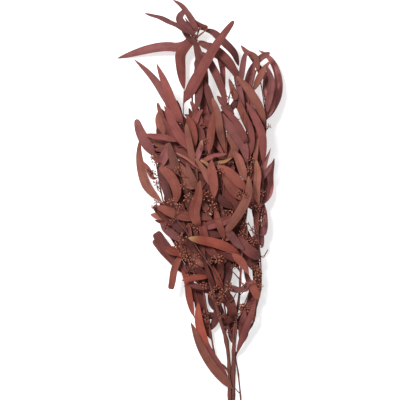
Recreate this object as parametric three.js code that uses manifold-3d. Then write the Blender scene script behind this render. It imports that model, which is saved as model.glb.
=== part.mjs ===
// A bunch of dried eucalyptus that lies on a table: six cut stems gathered at their lower ends, long narrow
// leaves on short stalks, and loose clusters of seed capsules.
// Millimetres. +Y runs from the cut ends to the leaf tips, +X is to the right seen from above, +Z is up, and
// the table is at z = 0.
//
// The pieces are laid one after another. Each one follows its route seen from above, and finds its heights by
// itself: it keeps clear of every piece laid before it, and its stalk starts on the stem that it grows on.
import * as THREE from "three";
import { mergeVertices } from "three/addons/utils/BufferGeometryUtils.js";
import Module from "manifold-3d";

const wasm = await Module();
wasm.setup();

// ---- Driving dimensions --------------------------------------------------------------------------------

const TOUCH_GAP = 0.3; // between a stalk and the stem or leaf that it rests on
const BLADE_GAP = 2.2; // between one leaf blade and the next
const STALK_REACH = 16; // length over which the touching gap opens to the gap between blades
const SEAT_SLACK = 1.0; // a stalk keeps its place on the stem if the height map asks for no more than this

const LEAF_THICKNESS = 0.9;
const STALK_WIDTH = 1.5;
const TIP_WIDTH = 0.7;
const LEAF_STEPS = 9;
const WIDEST_EARLY = 0.85; // below 1 puts the widest place below the middle of the blade
const SWELL = 0.8; // below 1 makes the outline fuller

const STEM_SIDES = 7;
const STEM_STEP = 19; // length of one straight stretch of a stem
const SHOOT_RADIUS = 1.0;

const CAPSULE_RADIUS = 2.2;
const CAPSULE_LENGTH = 4.8;
const CAPSULE_SIDES = 5;
const CAPSULE_BELLY_AT = 0.05; // share of its length above its middle
const CAPSULE_RIM = 0.7; // radius of the rim, as a share of the belly's
const CAPSULE_DISH = 0.4; // depth of the dish inside the rim, in millimetres
const CLUSTER_STALK_RADIUS = 0.6;
const CLUSTER_STALK_SIDES = 5;
const CLUSTER_STEPS = 4;
const SIDE_STALK_RADIUS = 0.5;
const SIDE_STALK_SIDES = 3;
const FIRST_CAPSULE_AT = 0.35; // share of the way along the cluster's stalk
const LAST_CAPSULE_AT = 0.98;
const CLUSTER_FLATNESS = 0.6; // height of a cluster over its width
const CLUSTER_DROP = 0.35; // share of its height that hangs below the stalk
const CLUSTER_LEAN = 0.35; // how far its side stalks lean towards its end
const LAST_CAPSULE_OUT = 0.45; // how far out the last capsule sits, against the first
const TURN_BETWEEN_CAPSULES = THREE.MathUtils.degToRad(137.5);

const CELL = 1.0; // of the height map
const MAP_HALF_WIDTH = 150;
const MAP_HALF_LENGTH = 350;
const BEND_LIMIT = 1.1; // how far a piece may sag below the chord of its neighbouring steps

// ---- Looks ---------------------------------------------------------------------------------------------

const LOOKS = {
  stem: { color: 0x4a2a26, roughness: 0.75 },
  leaf: { color: 0x8a4b42, roughness: 0.7 },
  darkLeaf: { color: 0x63352f, roughness: 0.7 },
  brightLeaf: { color: 0xa85138, roughness: 0.7 },
  capsule: { color: 0x9a6442, roughness: 0.65 },
};

// ---- The bunch, from the table up ----------------------------------------------------------------------

// A stem's route is its centre line, with heights. shoot: a side shoot, which is part of its stem.
const LOW_STEMS = [
  {
    name: "stem_main",
    radius: 1.9,
    route: [
      [48.8, -317, 1.9], [48.8, -280, 2.2], [49.6, -244, 3.5], [50.8, -214, 5.5], [52, -184, 9],
      [56, -156, 13], [60, -124, 18], [62, -90, 24], [65, -50, 30], [70, -4, 35], [73, 40, 38],
      [71, 93, 39], [71, 138, 39], [76, 176, 38], [85, 213, 36],
    ],
  },
  {
    name: "stem_left",
    radius: 1.7,
    route: [
      [44.9, -315, 1.7], [44.9, -280, 1.9], [45.4, -252, 2.8], [44, -222, 5], [40, -192, 9],
      [32, -165, 14], [23, -132, 20], [13, -94, 26], [5, -57, 31], [1, -20, 35], [-2, 33, 38],
      [-5, 78, 40], [-7, 123, 41], [-11, 176, 41], [-10, 228, 39], [-5, 261, 37], [0, 276, 36],
    ],
    shoot: [[-6, 93, 40], [-19, 114, 42], [-24, 138, 43], [-24, 162, 44], [-23, 186, 46]],
  },
  {
    name: "stem_far_left",
    radius: 1.6,
    route: [
      [46.9, -316, 5.2], [46.9, -280, 5.5], [44, -242, 7.6], [34, -231, 8], [24, -219, 9],
      [20, -200, 11], [16, -177, 14], [11, -147, 18], [5, -117, 21], [-10, -87, 24], [-25, -57, 26],
      [-41, -20, 28], [-55, 18, 29], [-62, 56, 30], [-67, 86, 30],
    ],
  },
  {
    name: "stem_right",
    radius: 1.3,
    route: [
      [52.3, -314, 1.3], [52.4, -280, 1.6], [53.2, -240, 3.5], [54.5, -216, 6], [62, -202, 8],
      [73, -180, 11], [82, -165, 14], [86, -140, 18], [92, -117, 21], [92, -75, 25], [88, -34, 28],
      [89, -4, 30], [94, 33, 32], [97, 93, 34], [100, 135, 34], [95, 176, 33], [88, 210, 32],
      [76, 232, 31],
    ],
  },
  {
    name: "stem_thin",
    radius: 1.1,
    route: [
      [63, -312, 1.1], [62, -280, 1.1], [60, -260, 1.3], [58, -240, 1.6], [55, -225, 2.2],
      [52, -200, 3], [43, -170, 8], [34, -117, 19], [31, -57, 31], [34, 3, 39], [38, 63, 44],
      [43, 123, 48], [44, 168, 51], [49, 190, 52],
    ],
  },
];

// A leaf's route runs from its stalk to its tip, seen from above. rise is how far the middle and the tip want
// to be from the height of the stalk's foot, away from the table, or towards it for the leaves underneath.
// roll turns the blade about its own length, in degrees, at the stalk and at the tip.
const LEAVES_UNDERNEATH = [
  {
    name: "leaf_crown_left_1", stem: "stem_left", width: 12.5, rise: [16, 40], roll: [8, -14],
    route: [[-10, 236], [-41, 248], [-74, 246], [-124, 232]],
  },
  {
    name: "leaf_crown_left_2", stem: "stem_left", width: 14, rise: [12, 17], roll: [-15, -25],
    route: [[-8, 252], [-26, 242], [-28, 213], [-23, 184]],
  },
  {
    name: "leaf_crown_left_3", stem: "stem_left", width: 10.5, rise: [7, 22], roll: [12, 25], dark: true,
    route: [[1, 274], [20, 271], [38, 254], [52, 238], [59, 220]],
  },
  {
    name: "leaf_crown_right_1", stem: "stem_right", width: 9.5, rise: [18, 26], roll: [-10, -25],
    route: [[100, 137], [118, 177], [118, 207], [106, 232], [89, 244]],
  },
  {
    name: "leaf_right_1", stem: "stem_right", width: 12, rise: [18, 40], roll: [10, 20],
    route: [[90, 6], [103, 30], [107, 54], [113, 81]],
  },
  {
    name: "leaf_left_1", stem: "stem_far_left", width: 12.5, rise: [18, 34], roll: [-8, 15], dark: true,
    route: [[-56, 10], [-79, 38], [-88, 66], [-91, 90], [-90, 111]],
  },
  {
    name: "leaf_left_2", stem: "stem_far_left", width: 12.5, rise: [10, 20], roll: [12, 12], dark: true,
    route: [[-44, -14], [-59, -6], [-74, -4]],
  },
  {
    name: "leaf_lower_left_1", stem: "stem_far_left", width: 11, rise: [9, 26], roll: [-12, 8], dark: true,
    route: [[-8, -92], [-34, -78], [-50, -63], [-66, -47]],
  },
  {
    name: "leaf_back_1", stem: "stem_main", width: 12, rise: [12, 30], roll: [10, -12], dark: true,
    route: [[70, -8], [52, 40], [32, 84], [8, 120]],
  },
  {
    name: "leaf_back_2", stem: "stem_left", width: 12, rise: [14, 26], roll: [-14, 10], dark: true,
    route: [[1, -20], [-20, 22], [-40, 60], [-52, 100]],
  },
  {
    name: "leaf_back_3", stem: "stem_left", width: 12, rise: [12, 38], roll: [14, -8], dark: true,
    route: [[-8, 128], [-24, 136], [-40, 152], [-54, 172]],
  },
  {
    name: "leaf_back_4", stem: "stem_right", width: 12, rise: [12, 34], roll: [-12, 10], dark: true,
    route: [[98, 100], [84, 138], [68, 172], [52, 208]],
  },
];

// Capsules sit round the stalk's outer part, as far from it as spread.
const FIRST_LAYERS = [
  {
    name: "leaf_crown_left_4", stem: "stem_left", width: 13.5, rise: [10, 8], roll: [-10, 25],
    route: [[-1, 270], [-9, 284], [-20, 300], [-30, 311], [-40, 318]],
  },
  {
    name: "leaf_crown_left_5", stem: "stem_left", width: 12.5, rise: [16, 22], roll: [68, 74],
    route: [[-5, 262], [-28, 276], [-56, 288], [-82, 297]],
  },
  {
    name: "leaf_crown_left_6", stem: "stem_left", width: 11, rise: [16, 12], roll: [-8, -20],
    route: [[-6, 254], [20, 246], [40, 228], [58, 204]],
  },
  {
    name: "leaf_crown_left_7", stem: "stem_left", width: 10, rise: [13, 18], roll: [12, 20],
    route: [[-9, 244], [8, 236], [23, 210], [32, 186], [41, 160]],
  },
  {
    name: "leaf_crown_left_8", stem: "stem_left", width: 10, rise: [10, 12], roll: [-18, 20],
    route: [[-10, 232], [-2, 214], [-1, 190], [-4, 153]],
  },
  {
    name: "leaf_crown_left_9", stem: "stem_left", width: 11, rise: [16, 34], roll: [-10, 12],
    route: [[-24, 134], [-43, 159], [-63, 192], [-76, 208], [-98, 228]],
  },
  {
    name: "leaf_crown_left_10", stem: "stem_left", width: 13, rise: [14, 24], roll: [10, -16],
    route: [[-22, 128], [-32, 148], [-42, 167], [-52, 190], [-64, 222]],
  },
  {
    name: "seeds_left_1", stem: "stem_far_left", spread: 6, capsules: 7, rise: [1, 2],
    route: [[-62, 54], [-68, 57], [-75, 61]],
  },
  {
    name: "leaf_left_3", stem: "stem_far_left", width: 14.5, rise: [12, 16], roll: [10, 18],
    route: [[-67, 82], [-79, 100], [-88, 121], [-95, 139]],
  },
  {
    name: "leaf_left_4", stem: "stem_far_left", width: 14, rise: [9, 6], roll: [-12, 8], bright: true,
    route: [[-64, 72], [-44, 54], [-35, 33], [-35, 14]],
  },
  {
    name: "leaf_upper_1", stem: "stem_left", width: 13.5, rise: [14, 24], roll: [14, -6],
    route: [[-5, 84], [-28, 111], [-40, 134], [-53, 159]],
  },
  {
    name: "leaf_upper_2", stem: "stem_left", width: 14, rise: [14, 20], roll: [-12, 12],
    route: [[-6, 96], [-11, 120], [-19, 146]],
  },
  {
    name: "leaf_crown_right_2", stem: "stem_right", width: 8, rise: [8, 8], roll: [12, 30], bright: true,
    route: [[88, 208], [84, 232], [71, 240], [62, 250]],
  },
  {
    name: "leaf_crown_right_3", stem: "stem_right", width: 9, rise: [12, 26], roll: [-12, 20],
    route: [[99, 143], [105, 168], [107, 195], [100, 219]],
  },
  {
    name: "leaf_crown_right_4", stem: "stem_right", width: 12.5, rise: [16, 18], roll: [-10, 12],
    bright: true,
    route: [[100, 128], [88, 160], [73, 184], [55, 204]],
  },
  {
    name: "leaf_right_2", stem: "stem_right", width: 11, rise: [16, 20], roll: [15, -10], bright: true,
    route: [[96, 66], [95, 93], [93, 118], [83, 142], [70, 164]],
  },
  {
    name: "leaf_upper_3", stem: "stem_main", width: 13.5, rise: [16, 26], roll: [-14, 10],
    route: [[72, 70], [64, 100], [47, 126], [26, 152]],
  },
  {
    name: "leaf_upper_4", stem: "stem_main", width: 9.5, rise: [10, 20], roll: [10, 25], bright: true,
    route: [[71, 100], [61, 124], [49, 142], [32, 158]],
  },
  {
    name: "leaf_right_3", stem: "stem_right", width: 10.5, rise: [14, 24], roll: [14, 30],
    route: [[90, 8], [86, 30], [86, 54], [85, 78]],
  },
  {
    name: "leaf_middle_1", stem: "stem_main", width: 13, rise: [10, 10], roll: [-10, 12],
    route: [[73, 30], [61, 42], [46, 58], [26, 70]],
  },
  {
    name: "leaf_middle_2", stem: "stem_left", width: 13.5, rise: [12, 14], roll: [8, -14],
    route: [[1, -12], [-37, -2], [-64, 9]],
  },
  {
    name: "leaf_lower_left_2", stem: "stem_far_left", width: 9.5, rise: [6, 4], roll: [14, 10],
    route: [[-24, -60], [-38, -87], [-43, -116]],
  },
  {
    name: "seeds_right_1", stem: "stem_right", spread: 8, capsules: 10, rise: [2, 4],
    route: [[88, -27], [82, -40], [76, -58]],
  },
  {
    name: "seeds_right_2", stem: "stem_right", spread: 7, capsules: 9, rise: [2, 3],
    route: [[92, -115], [88, -102], [83, -80]],
  },
  {
    name: "seeds_right_3", stem: "stem_right", spread: 8, capsules: 10, rise: [3, 5],
    route: [[82, -165], [73, -156], [60, -140]],
  },
  {
    name: "leaf_lower_right_1", stem: "stem_right", width: 11.5, rise: [7, 9], roll: [12, -10], bright: true,
    route: [[88, -134], [83, -118], [77, -104]],
  },
  {
    name: "leaf_lower_right_2", stem: "stem_right", width: 14, rise: [10, 18], roll: [-16, 14], dark: true,
    route: [[63, -202], [66, -176], [68, -146]],
  },
  {
    name: "leaf_lower_right_3", stem: "stem_main", width: 12.5, rise: [8, 12], roll: [12, -12],
    route: [[56, -164], [46, -136], [34, -115]],
  },
  {
    name: "seeds_middle_1", stem: "stem_thin", spread: 7, capsules: 8, rise: [2, 3],
    route: [[34, 0], [41, -3], [50, -4]],
  },
  {
    name: "leaf_upper_5", stem: "stem_thin", width: 10, rise: [10, 14], roll: [-15, 15],
    route: [[40, 86], [31, 116], [28, 146], [19, 171]],
  },
  {
    name: "leaf_middle_3", stem: "stem_thin", width: 12.5, rise: [16, 24], roll: [8, -12], bright: true,
    route: [[32, -42], [49, -16], [64, 6], [74, 30], [73, 54]],
  },
];

// The stem in front runs over the first leaves: from clearFrom on, its heights are the least that it wants.
const FRONT_STEM = {
  name: "stem_front",
  radius: 1.4,
  clearFrom: -200,
  route: [
    [50.6, -318, 5.2], [50.8, -280, 5.4], [51.7, -244, 7.2], [53, -207, 11.5], [55, -159, 20],
    [38, -124, 29], [20, -87, 37], [1, -60, 43], [-17, -33, 47], [-38, -6, 50],
  ],
};

const TOP_LAYERS = [
  {
    name: "seeds_front_1", stem: "stem_front", spread: 8, capsules: 12, rise: [3, 5],
    route: [[10, -73], [20, -73], [36, -66]],
  },
  {
    name: "seeds_front_2", stem: "stem_front", spread: 8, capsules: 11, rise: [3, 4],
    route: [[2, -62], [-6, -68], [-18, -82]],
  },
  {
    name: "seeds_front_3", stem: "stem_front", spread: 9, capsules: 12, rise: [3, 6],
    route: [[36, -120], [30, -124], [18, -132]],
  },
  {
    name: "seeds_front_4", stem: "stem_front", spread: 7, capsules: 9, rise: [2, 3],
    route: [[-15, -36], [-22, -43], [-30, -56]],
  },
  {
    name: "seeds_front_5", stem: "stem_front", spread: 6, capsules: 7, rise: [2, 3],
    route: [[-36, -8], [-38, 5], [-37, 18]],
  },
  {
    name: "leaf_lower_left_3", stem: "stem_far_left", width: 12.5, rise: [10, 16], roll: [10, -14],
    bright: true,
    route: [[22, -212], [10, -205], [2, -177], [-1, -154], [-2, -135]],
  },
  {
    name: "leaf_lower_left_4", stem: "stem_front", width: 12.5, rise: [10, 20], roll: [-14, 16],
    route: [[51, -268], [22, -237], [5, -207], [-5, -184], [-13, -166]],
  },
  {
    name: "leaf_middle_4", stem: "stem_left", width: 15.5, rise: [14, 24], roll: [-10, 10], bright: true,
    route: [[1, -24], [-7, 0], [-4, 22], [1, 48]],
  },
  {
    name: "leaf_middle_5", stem: "stem_right", width: 15, rise: [9, 12], roll: [12, -10], dark: true,
    route: [[89, -72], [73, -56], [58, -36]],
  },
  {
    name: "leaf_middle_6", stem: "stem_main", width: 13, rise: [14, 14], roll: [8, -10], bright: true,
    route: [[64, -66], [49, -57], [19, -45], [-17, -39]],
  },
  {
    name: "leaf_crown_left_11", stem: "stem_left", width: 13, rise: [24, 34], roll: [-10, 12], bright: true,
    route: [[-23, 162], [-5, 199], [24, 247], [51, 285]],
  },
];

// ---- Height maps ---------------------------------------------------------------------------------------

// How far the pieces laid so far reach on one side: up (sign 1) or down (sign -1, as heights turned over).
class HeightMap {
  constructor(sign) {
    this.sign = sign;
    this.columns = Math.ceil((2 * MAP_HALF_WIDTH) / CELL);
    this.rows = Math.ceil((2 * MAP_HALF_LENGTH) / CELL);
    this.cells = new Float32Array(this.columns * this.rows).fill(-Infinity);
  }

  column(x) {
    return Math.floor((x + MAP_HALF_WIDTH) / CELL);
  }

  row(y) {
    return Math.floor((y + MAP_HALF_LENGTH) / CELL);
  }

  reach(x, y) {
    return this.cells[this.row(y) * this.columns + this.column(x)];
  }

  // A point counts in its own cell and in the eight round it.
  addPoint(point) {
    for (let row = this.row(point.y) - 1; row <= this.row(point.y) + 1; row++) {
      for (let column = this.column(point.x) - 1; column <= this.column(point.x) + 1; column++) {
        const cell = row * this.columns + column;
        this.cells[cell] = Math.max(this.cells[cell], this.sign * point.z);
      }
    }
  }

  addTriangle(triangle) {
    const longest = Math.max(
      triangle.a.distanceTo(triangle.b),
      triangle.b.distanceTo(triangle.c),
      triangle.c.distanceTo(triangle.a),
    );
    const parts = Math.ceil(longest / CELL);
    const point = new THREE.Vector3();
    for (let i = 0; i <= parts; i++) {
      for (let j = 0; j <= parts - i; j++) {
        point.copy(triangle.a).multiplyScalar(parts - i - j);
        point.addScaledVector(triangle.b, i).addScaledVector(triangle.c, j).divideScalar(parts);
        this.addPoint(point);
      }
    }
  }
}

const above = new HeightMap(1);
const below = new HeightMap(-1);

function addToMaps(geometry) {
  const flat = geometry.index ? geometry.toNonIndexed() : geometry;
  const position = flat.getAttribute("position");
  const triangle = new THREE.Triangle();
  for (let i = 0; i < position.count; i += 3) {
    triangle.a.fromBufferAttribute(position, i);
    triangle.b.fromBufferAttribute(position, i + 1);
    triangle.c.fromBufferAttribute(position, i + 2);
    above.addTriangle(triangle);
    below.addTriangle(triangle);
  }
}

// ---- Routes --------------------------------------------------------------------------------------------

// A smooth line through the route. A route without heights lies on the table.
function curveOf(route) {
  const points = route.map(([x, y, z = 0]) => new THREE.Vector3(x, y, z));
  return new THREE.CatmullRomCurve3(points, false, "centripetal");
}

// The direction to the left of a line's step, level with the table.
function leftOf(line, step) {
  const before = line[Math.max(step - 1, 0)];
  const after = line[Math.min(step + 1, line.length - 1)];
  return new THREE.Vector3(before.y - after.y, after.x - before.x, 0).normalize();
}

// The stem's centre nearest to a point of the table, and how thick the stem is there.
function nearestOn(stem, [x, y]) {
  const point = new THREE.Vector3(x, y, 0);
  const onLine = new THREE.Vector3();
  let best = { away: Infinity };
  for (const { line, radius } of stem) {
    for (let i = 1; i < line.length; i++) {
      const [from, to] = [line[i - 1], line[i]];
      const flat = new THREE.Line3(from.clone().setZ(0), to.clone().setZ(0));
      const share = flat.closestPointToPointParameter(point, true);
      const away = flat.at(share, onLine).distanceTo(point);
      if (away < best.away) best = { away, radius, centre: from.clone().lerp(to, share) };
    }
  }
  return best;
}

// ---- Heights -------------------------------------------------------------------------------------------

// A strip is a plan line with a half width, half depth and roll at each step. The strip's own height is the
// least that clears everything on the map under it, with the gap that belongs to that step.
const PARTS_OF_STEP = 4;
const PLACES_ACROSS = 4; // to each side of the middle

function clearanceAt(strip, map, place, gap) {
  const step = Math.min(Math.floor(place), strip.plan.length - 2);
  const share = place - step;
  const mix = (values) => THREE.MathUtils.lerp(values[step], values[step + 1], share);
  const centre = strip.plan[step].clone().lerp(strip.plan[step + 1], share);
  const left = leftOf(strip.plan, step).lerp(leftOf(strip.plan, step + 1), share);
  const roll = mix(strip.roll);
  let need = -Infinity;
  for (let i = -PLACES_ACROSS; i <= PLACES_ACROSS; i++) {
    const across = (i / PLACES_ACROSS) * mix(strip.halfWidth);
    const x = centre.x + left.x * across * Math.cos(roll);
    const y = centre.y + left.y * across * Math.cos(roll);
    const edge = map.sign * across * Math.sin(roll);
    need = Math.max(need, map.reach(x, y) + gap + mix(strip.halfDepth) - edge);
  }
  return need;
}

// Heights of the strip's steps. wishes are the heights it wants, as the map counts them: away from the table
// on the upper map, and turned over on the lower one. The first step keeps its seat where it can.
function heightsOf(strip, map, wishes) {
  const last = strip.plan.length - 1;
  const length = strip.plan.reduce((sum, p, i, all) => sum + (i ? p.distanceTo(all[i - 1]) : 0), 0);
  const gapAt = (place) =>
    THREE.MathUtils.lerp(TOUCH_GAP, strip.gap, Math.min((place / last) * (length / STALK_REACH), 1));
  const heights = wishes.map((wish, step) => {
    const lowest = strip.halfDepth[step] + strip.halfWidth[step] * Math.abs(Math.sin(strip.roll[step]));
    const height = map.sign > 0 ? Math.max(wish, lowest) : Math.min(wish, -lowest);
    if (step === 0) {
      const need = clearanceAt(strip, map, 0, TOUCH_GAP);
      return need > height + SEAT_SLACK ? need : height;
    }
    let need = -Infinity;
    for (let place = step - 1; place <= Math.min(step + 1, last); place += 1 / PARTS_OF_STEP) {
      need = Math.max(need, clearanceAt(strip, map, place, gapAt(place)));
    }
    if (map.sign < 0 && need > 0.1 - lowest) {
      throw new Error(`${strip.name} has no room above the table at step ${step}`);
    }
    return Math.max(height, need);
  });
  for (let round = 0; round < last * last; round++) {
    for (let step = 1; step < last; step++) {
      const chord = (heights[step - 1] + heights[step + 1]) / 2;
      heights[step] = Math.max(heights[step], chord - BEND_LIMIT);
    }
  }
  return heights.map((height) => map.sign * height);
}

// Wished heights that leave the foot, pass the middle's rise and end at the tip's.
function archOf(plan, foot, [middle, end]) {
  return plan.map((_, step) => {
    const share = step / (plan.length - 1);
    return foot + middle * 4 * share * (1 - share) + end * share * (2 * share - 1);
  });
}

function lineOf(strip, heights) {
  return strip.plan.map((point, step) => point.clone().setZ(heights[step]));
}

// ---- Shapes --------------------------------------------------------------------------------------------

function polygon(sides) {
  const corners = Array.from({ length: sides }, (_, i) => {
    const angle = (2 * Math.PI * i) / sides;
    return new THREE.Vector2(Math.cos(angle), Math.sin(angle));
  });
  return new THREE.Shape(corners);
}

// A straight bar of the outline, bent along the line, as wide and thick at each step as the strip says.
function sweep(outline, line, strip) {
  const last = line.length - 1;
  const bar = new THREE.ExtrudeGeometry(outline, { depth: last, steps: last, bevelEnabled: false });
  const frames = line.map((centre, step) => {
    const along = line[Math.min(step + 1, last)].clone().sub(line[Math.max(step - 1, 0)]).normalize();
    const left = leftOf(line, step);
    const up = along.clone().cross(left);
    const turned = new THREE.Matrix4().makeRotationAxis(along, strip.roll[step]);
    left.applyMatrix4(turned).multiplyScalar(strip.halfWidth[step]);
    up.applyMatrix4(turned).multiplyScalar(strip.halfDepth[step]);
    return { centre, left, up };
  });
  const position = bar.getAttribute("position");
  const point = new THREE.Vector3();
  for (let i = 0; i < position.count; i++) {
    const frame = frames[Math.round(position.getZ(i))];
    point.copy(frame.centre).addScaledVector(frame.left, position.getX(i));
    point.addScaledVector(frame.up, position.getY(i));
    position.setXYZ(i, point.x, point.y, point.z);
  }
  return bar;
}

function solidOf(geometry) {
  const bare = geometry.clone();
  bare.deleteAttribute("normal");
  bare.deleteAttribute("uv");
  const merged = mergeVertices(bare, 1e-4);
  const mesh = new wasm.Mesh({
    numProp: 3,
    vertProperties: new Float32Array(merged.getAttribute("position").array),
    triVerts: new Uint32Array(merged.index.array),
  });
  return new wasm.Manifold(mesh);
}

function joined(geometries) {
  const whole = geometries.map(solidOf).reduce((all, solid) => all.add(solid));
  const { vertProperties, triVerts } = whole.getMesh();
  const geometry = new THREE.BufferGeometry();
  geometry.setAttribute("position", new THREE.BufferAttribute(vertProperties, 3));
  geometry.setIndex(new THREE.BufferAttribute(triVerts, 1));
  const flat = geometry.toNonIndexed();
  flat.computeVertexNormals();
  return flat;
}

// ---- Stems ---------------------------------------------------------------------------------------------

const stems = {};

function roundStrip(name, plan, radius) {
  const same = (value) => plan.map(() => value);
  return {
    name, plan, gap: TOUCH_GAP, halfWidth: same(radius), halfDepth: same(radius), roll: same(0),
  };
}

function stemLine(name, route, radius, clearFrom) {
  const curve = curveOf(route);
  const line = curve.getSpacedPoints(Math.ceil(curve.getLength() / STEM_STEP));
  if (clearFrom !== undefined) {
    const upper = line.slice(line.findIndex(({ y }) => y > clearFrom));
    const plan = upper.map((point) => point.clone().setZ(0));
    const wishes = upper.map((point) => point.z);
    const heights = heightsOf(roundStrip(name, plan, radius), above, wishes);
    upper.forEach((point, step) => point.setZ(heights[step]));
  }
  return line;
}

function layStem({ name, radius, route, clearFrom, shoot }) {
  const line = stemLine(name, route, radius, clearFrom);
  stems[name] = [{ line, radius }];
  let geometry = sweep(polygon(STEM_SIDES), line, roundStrip(name, line, radius));
  if (shoot) {
    const side = stemLine(name, shoot, SHOOT_RADIUS);
    stems[name].push({ line: side, radius: SHOOT_RADIUS });
    geometry = joined([geometry, sweep(polygon(STEM_SIDES), side, roundStrip(name, side, SHOOT_RADIUS))]);
  }
  addToMaps(geometry);
  return pieceOf(name, geometry, LOOKS.stem);
}

// ---- Leaves --------------------------------------------------------------------------------------------

const BLADE = new THREE.Shape([
  new THREE.Vector2(-1, 0),
  new THREE.Vector2(0, -1),
  new THREE.Vector2(1, 0),
  new THREE.Vector2(0, 1),
]);

// Half of the blade's width at a share of its length: narrow stalk, widest below the middle, long point.
function bladeHalfWidth(share, width) {
  const swell = Math.sin(Math.PI * share ** WIDEST_EARLY) ** SWELL;
  const least = THREE.MathUtils.lerp(STALK_WIDTH, TIP_WIDTH, share);
  return Math.max(width * swell, least) / 2;
}

// The route with its first point moved onto the stem, and the height of the stem's surface there as the map
// counts it.
function rootOn(stem, route, map) {
  const { centre, radius } = nearestOn(stems[stem], route[0]);
  return { surface: map.sign * centre.z + radius, rooted: [[centre.x, centre.y], ...route.slice(1)] };
}

function layLeaf({ name, stem, width, rise, roll, route, dark, bright }, map) {
  const { surface, rooted } = rootOn(stem, route, map);
  const plan = curveOf(rooted).getSpacedPoints(LEAF_STEPS);
  const shares = plan.map((_, step) => step / LEAF_STEPS);
  const strip = {
    name,
    plan,
    gap: BLADE_GAP,
    halfWidth: shares.map((share) => bladeHalfWidth(share, width)),
    halfDepth: shares.map(() => LEAF_THICKNESS / 2),
    roll: shares.map((share) => THREE.MathUtils.degToRad(THREE.MathUtils.lerp(...roll, share))),
  };
  const foot = surface + TOUCH_GAP + LEAF_THICKNESS / 2;
  const line = lineOf(strip, heightsOf(strip, map, archOf(plan, foot, rise)));
  const geometry = sweep(BLADE, line, strip);
  addToMaps(geometry);
  const look = dark ? LOOKS.darkLeaf : bright ? LOOKS.brightLeaf : LOOKS.leaf;
  return pieceOf(name, geometry, look);
}

// ---- Seed clusters -------------------------------------------------------------------------------------

// One capsule, its stalk end at the bottom and its open rim on top.
function capsuleShape() {
  const half = CAPSULE_LENGTH / 2;
  const profile = [
    new THREE.Vector2(0, -half),
    new THREE.Vector2(CAPSULE_RADIUS, CAPSULE_BELLY_AT * CAPSULE_LENGTH),
    new THREE.Vector2(CAPSULE_RIM * CAPSULE_RADIUS, half),
    new THREE.Vector2(0, half - CAPSULE_DISH),
  ];
  return new THREE.LatheGeometry(profile, CAPSULE_SIDES);
}

function capsuleAt(foot, centre) {
  const outward = centre.clone().sub(foot).normalize();
  const turn = new THREE.Quaternion().setFromUnitVectors(new THREE.Vector3(0, 1, 0), outward);
  const capsule = capsuleShape().applyQuaternion(turn).translate(centre.x, centre.y, centre.z);
  const stalkLine = [foot, centre];
  const stalkStrip = roundStrip("stalk", stalkLine, SIDE_STALK_RADIUS);
  return [capsule, sweep(polygon(SIDE_STALK_SIDES), stalkLine, stalkStrip)];
}

function laySeeds({ name, stem, spread, capsules, rise, route }, map) {
  const { surface, rooted } = rootOn(stem, route, map);
  const plan = curveOf(rooted).getSpacedPoints(CLUSTER_STEPS);
  const strip = roundStrip(name, plan, CLUSTER_STALK_RADIUS);
  const room = {
    ...strip,
    halfWidth: plan.map((_, step) => (step ? spread + CAPSULE_RADIUS : CLUSTER_STALK_RADIUS)),
    halfDepth: plan.map((_, step) => (step
      ? CAPSULE_LENGTH / 2 + spread * CLUSTER_FLATNESS * CLUSTER_DROP
      : CLUSTER_STALK_RADIUS)),
  };
  const foot = surface + TOUCH_GAP + CLUSTER_STALK_RADIUS;
  const line = lineOf(strip, heightsOf(room, map, archOf(plan, foot, rise)));
  const stalk = new THREE.CatmullRomCurve3(line);
  const pieces = [sweep(polygon(CLUSTER_STALK_SIDES), line, strip)];
  for (let i = 0; i < capsules; i++) {
    const share = i / (capsules - 1);
    const place = THREE.MathUtils.lerp(FIRST_CAPSULE_AT, LAST_CAPSULE_AT, share);
    const from = stalk.getPoint(place);
    const along = stalk.getTangent(place);
    const left = new THREE.Vector3(-along.y, along.x, 0).normalize();
    const turn = i * TURN_BETWEEN_CAPSULES;
    const out = spread * THREE.MathUtils.lerp(1, LAST_CAPSULE_OUT, share);
    const to = from.clone().addScaledVector(left, Math.cos(turn) * out);
    to.addScaledVector(along, CLUSTER_LEAN * out);
    to.z += Math.max(Math.sin(turn), -CLUSTER_DROP) * CLUSTER_FLATNESS * out;
    pieces.push(...capsuleAt(from, to));
  }
  const geometry = joined(pieces);
  addToMaps(geometry);
  return pieceOf(name, geometry, LOOKS.capsule);
}

// ---- Laying the bunch ----------------------------------------------------------------------------------

function pieceOf(name, geometry, look) {
  const mesh = new THREE.Mesh(geometry, new THREE.MeshStandardMaterial({ ...look, metalness: 0 }));
  mesh.name = name;
  return mesh;
}

function layOnTop(piece) {
  return piece.capsules ? laySeeds(piece, above) : layLeaf(piece, above);
}

const bunch = new THREE.Group();
bunch.add(...LOW_STEMS.map(layStem));
bunch.add(...LEAVES_UNDERNEATH.map((leaf) => layLeaf(leaf, below)));
bunch.add(...FIRST_LAYERS.map(layOnTop));
bunch.add(layStem(FRONT_STEM));
bunch.add(...TOP_LAYERS.map(layOnTop));

// The lowest pieces touch the table.
bunch.position.z = -new THREE.Box3().setFromObject(bunch).min.z;

export default bunch;
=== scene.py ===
"""A bunch of dried eucalyptus that lies on a pale table: thin red-brown stems, long narrow leaves and
clusters of small seed capsules.

Metres. +Y runs from the cut ends of the stems to the leaf tips, +X is to the right seen from above, +Z is up
and the table is at z = 0. Routes, widths and levels in the lists and tables are in millimetres.
"""
import math
import random

import bmesh
import bpy
import numpy as np
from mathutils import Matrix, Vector
from mathutils.bvhtree import BVHTree


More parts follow.
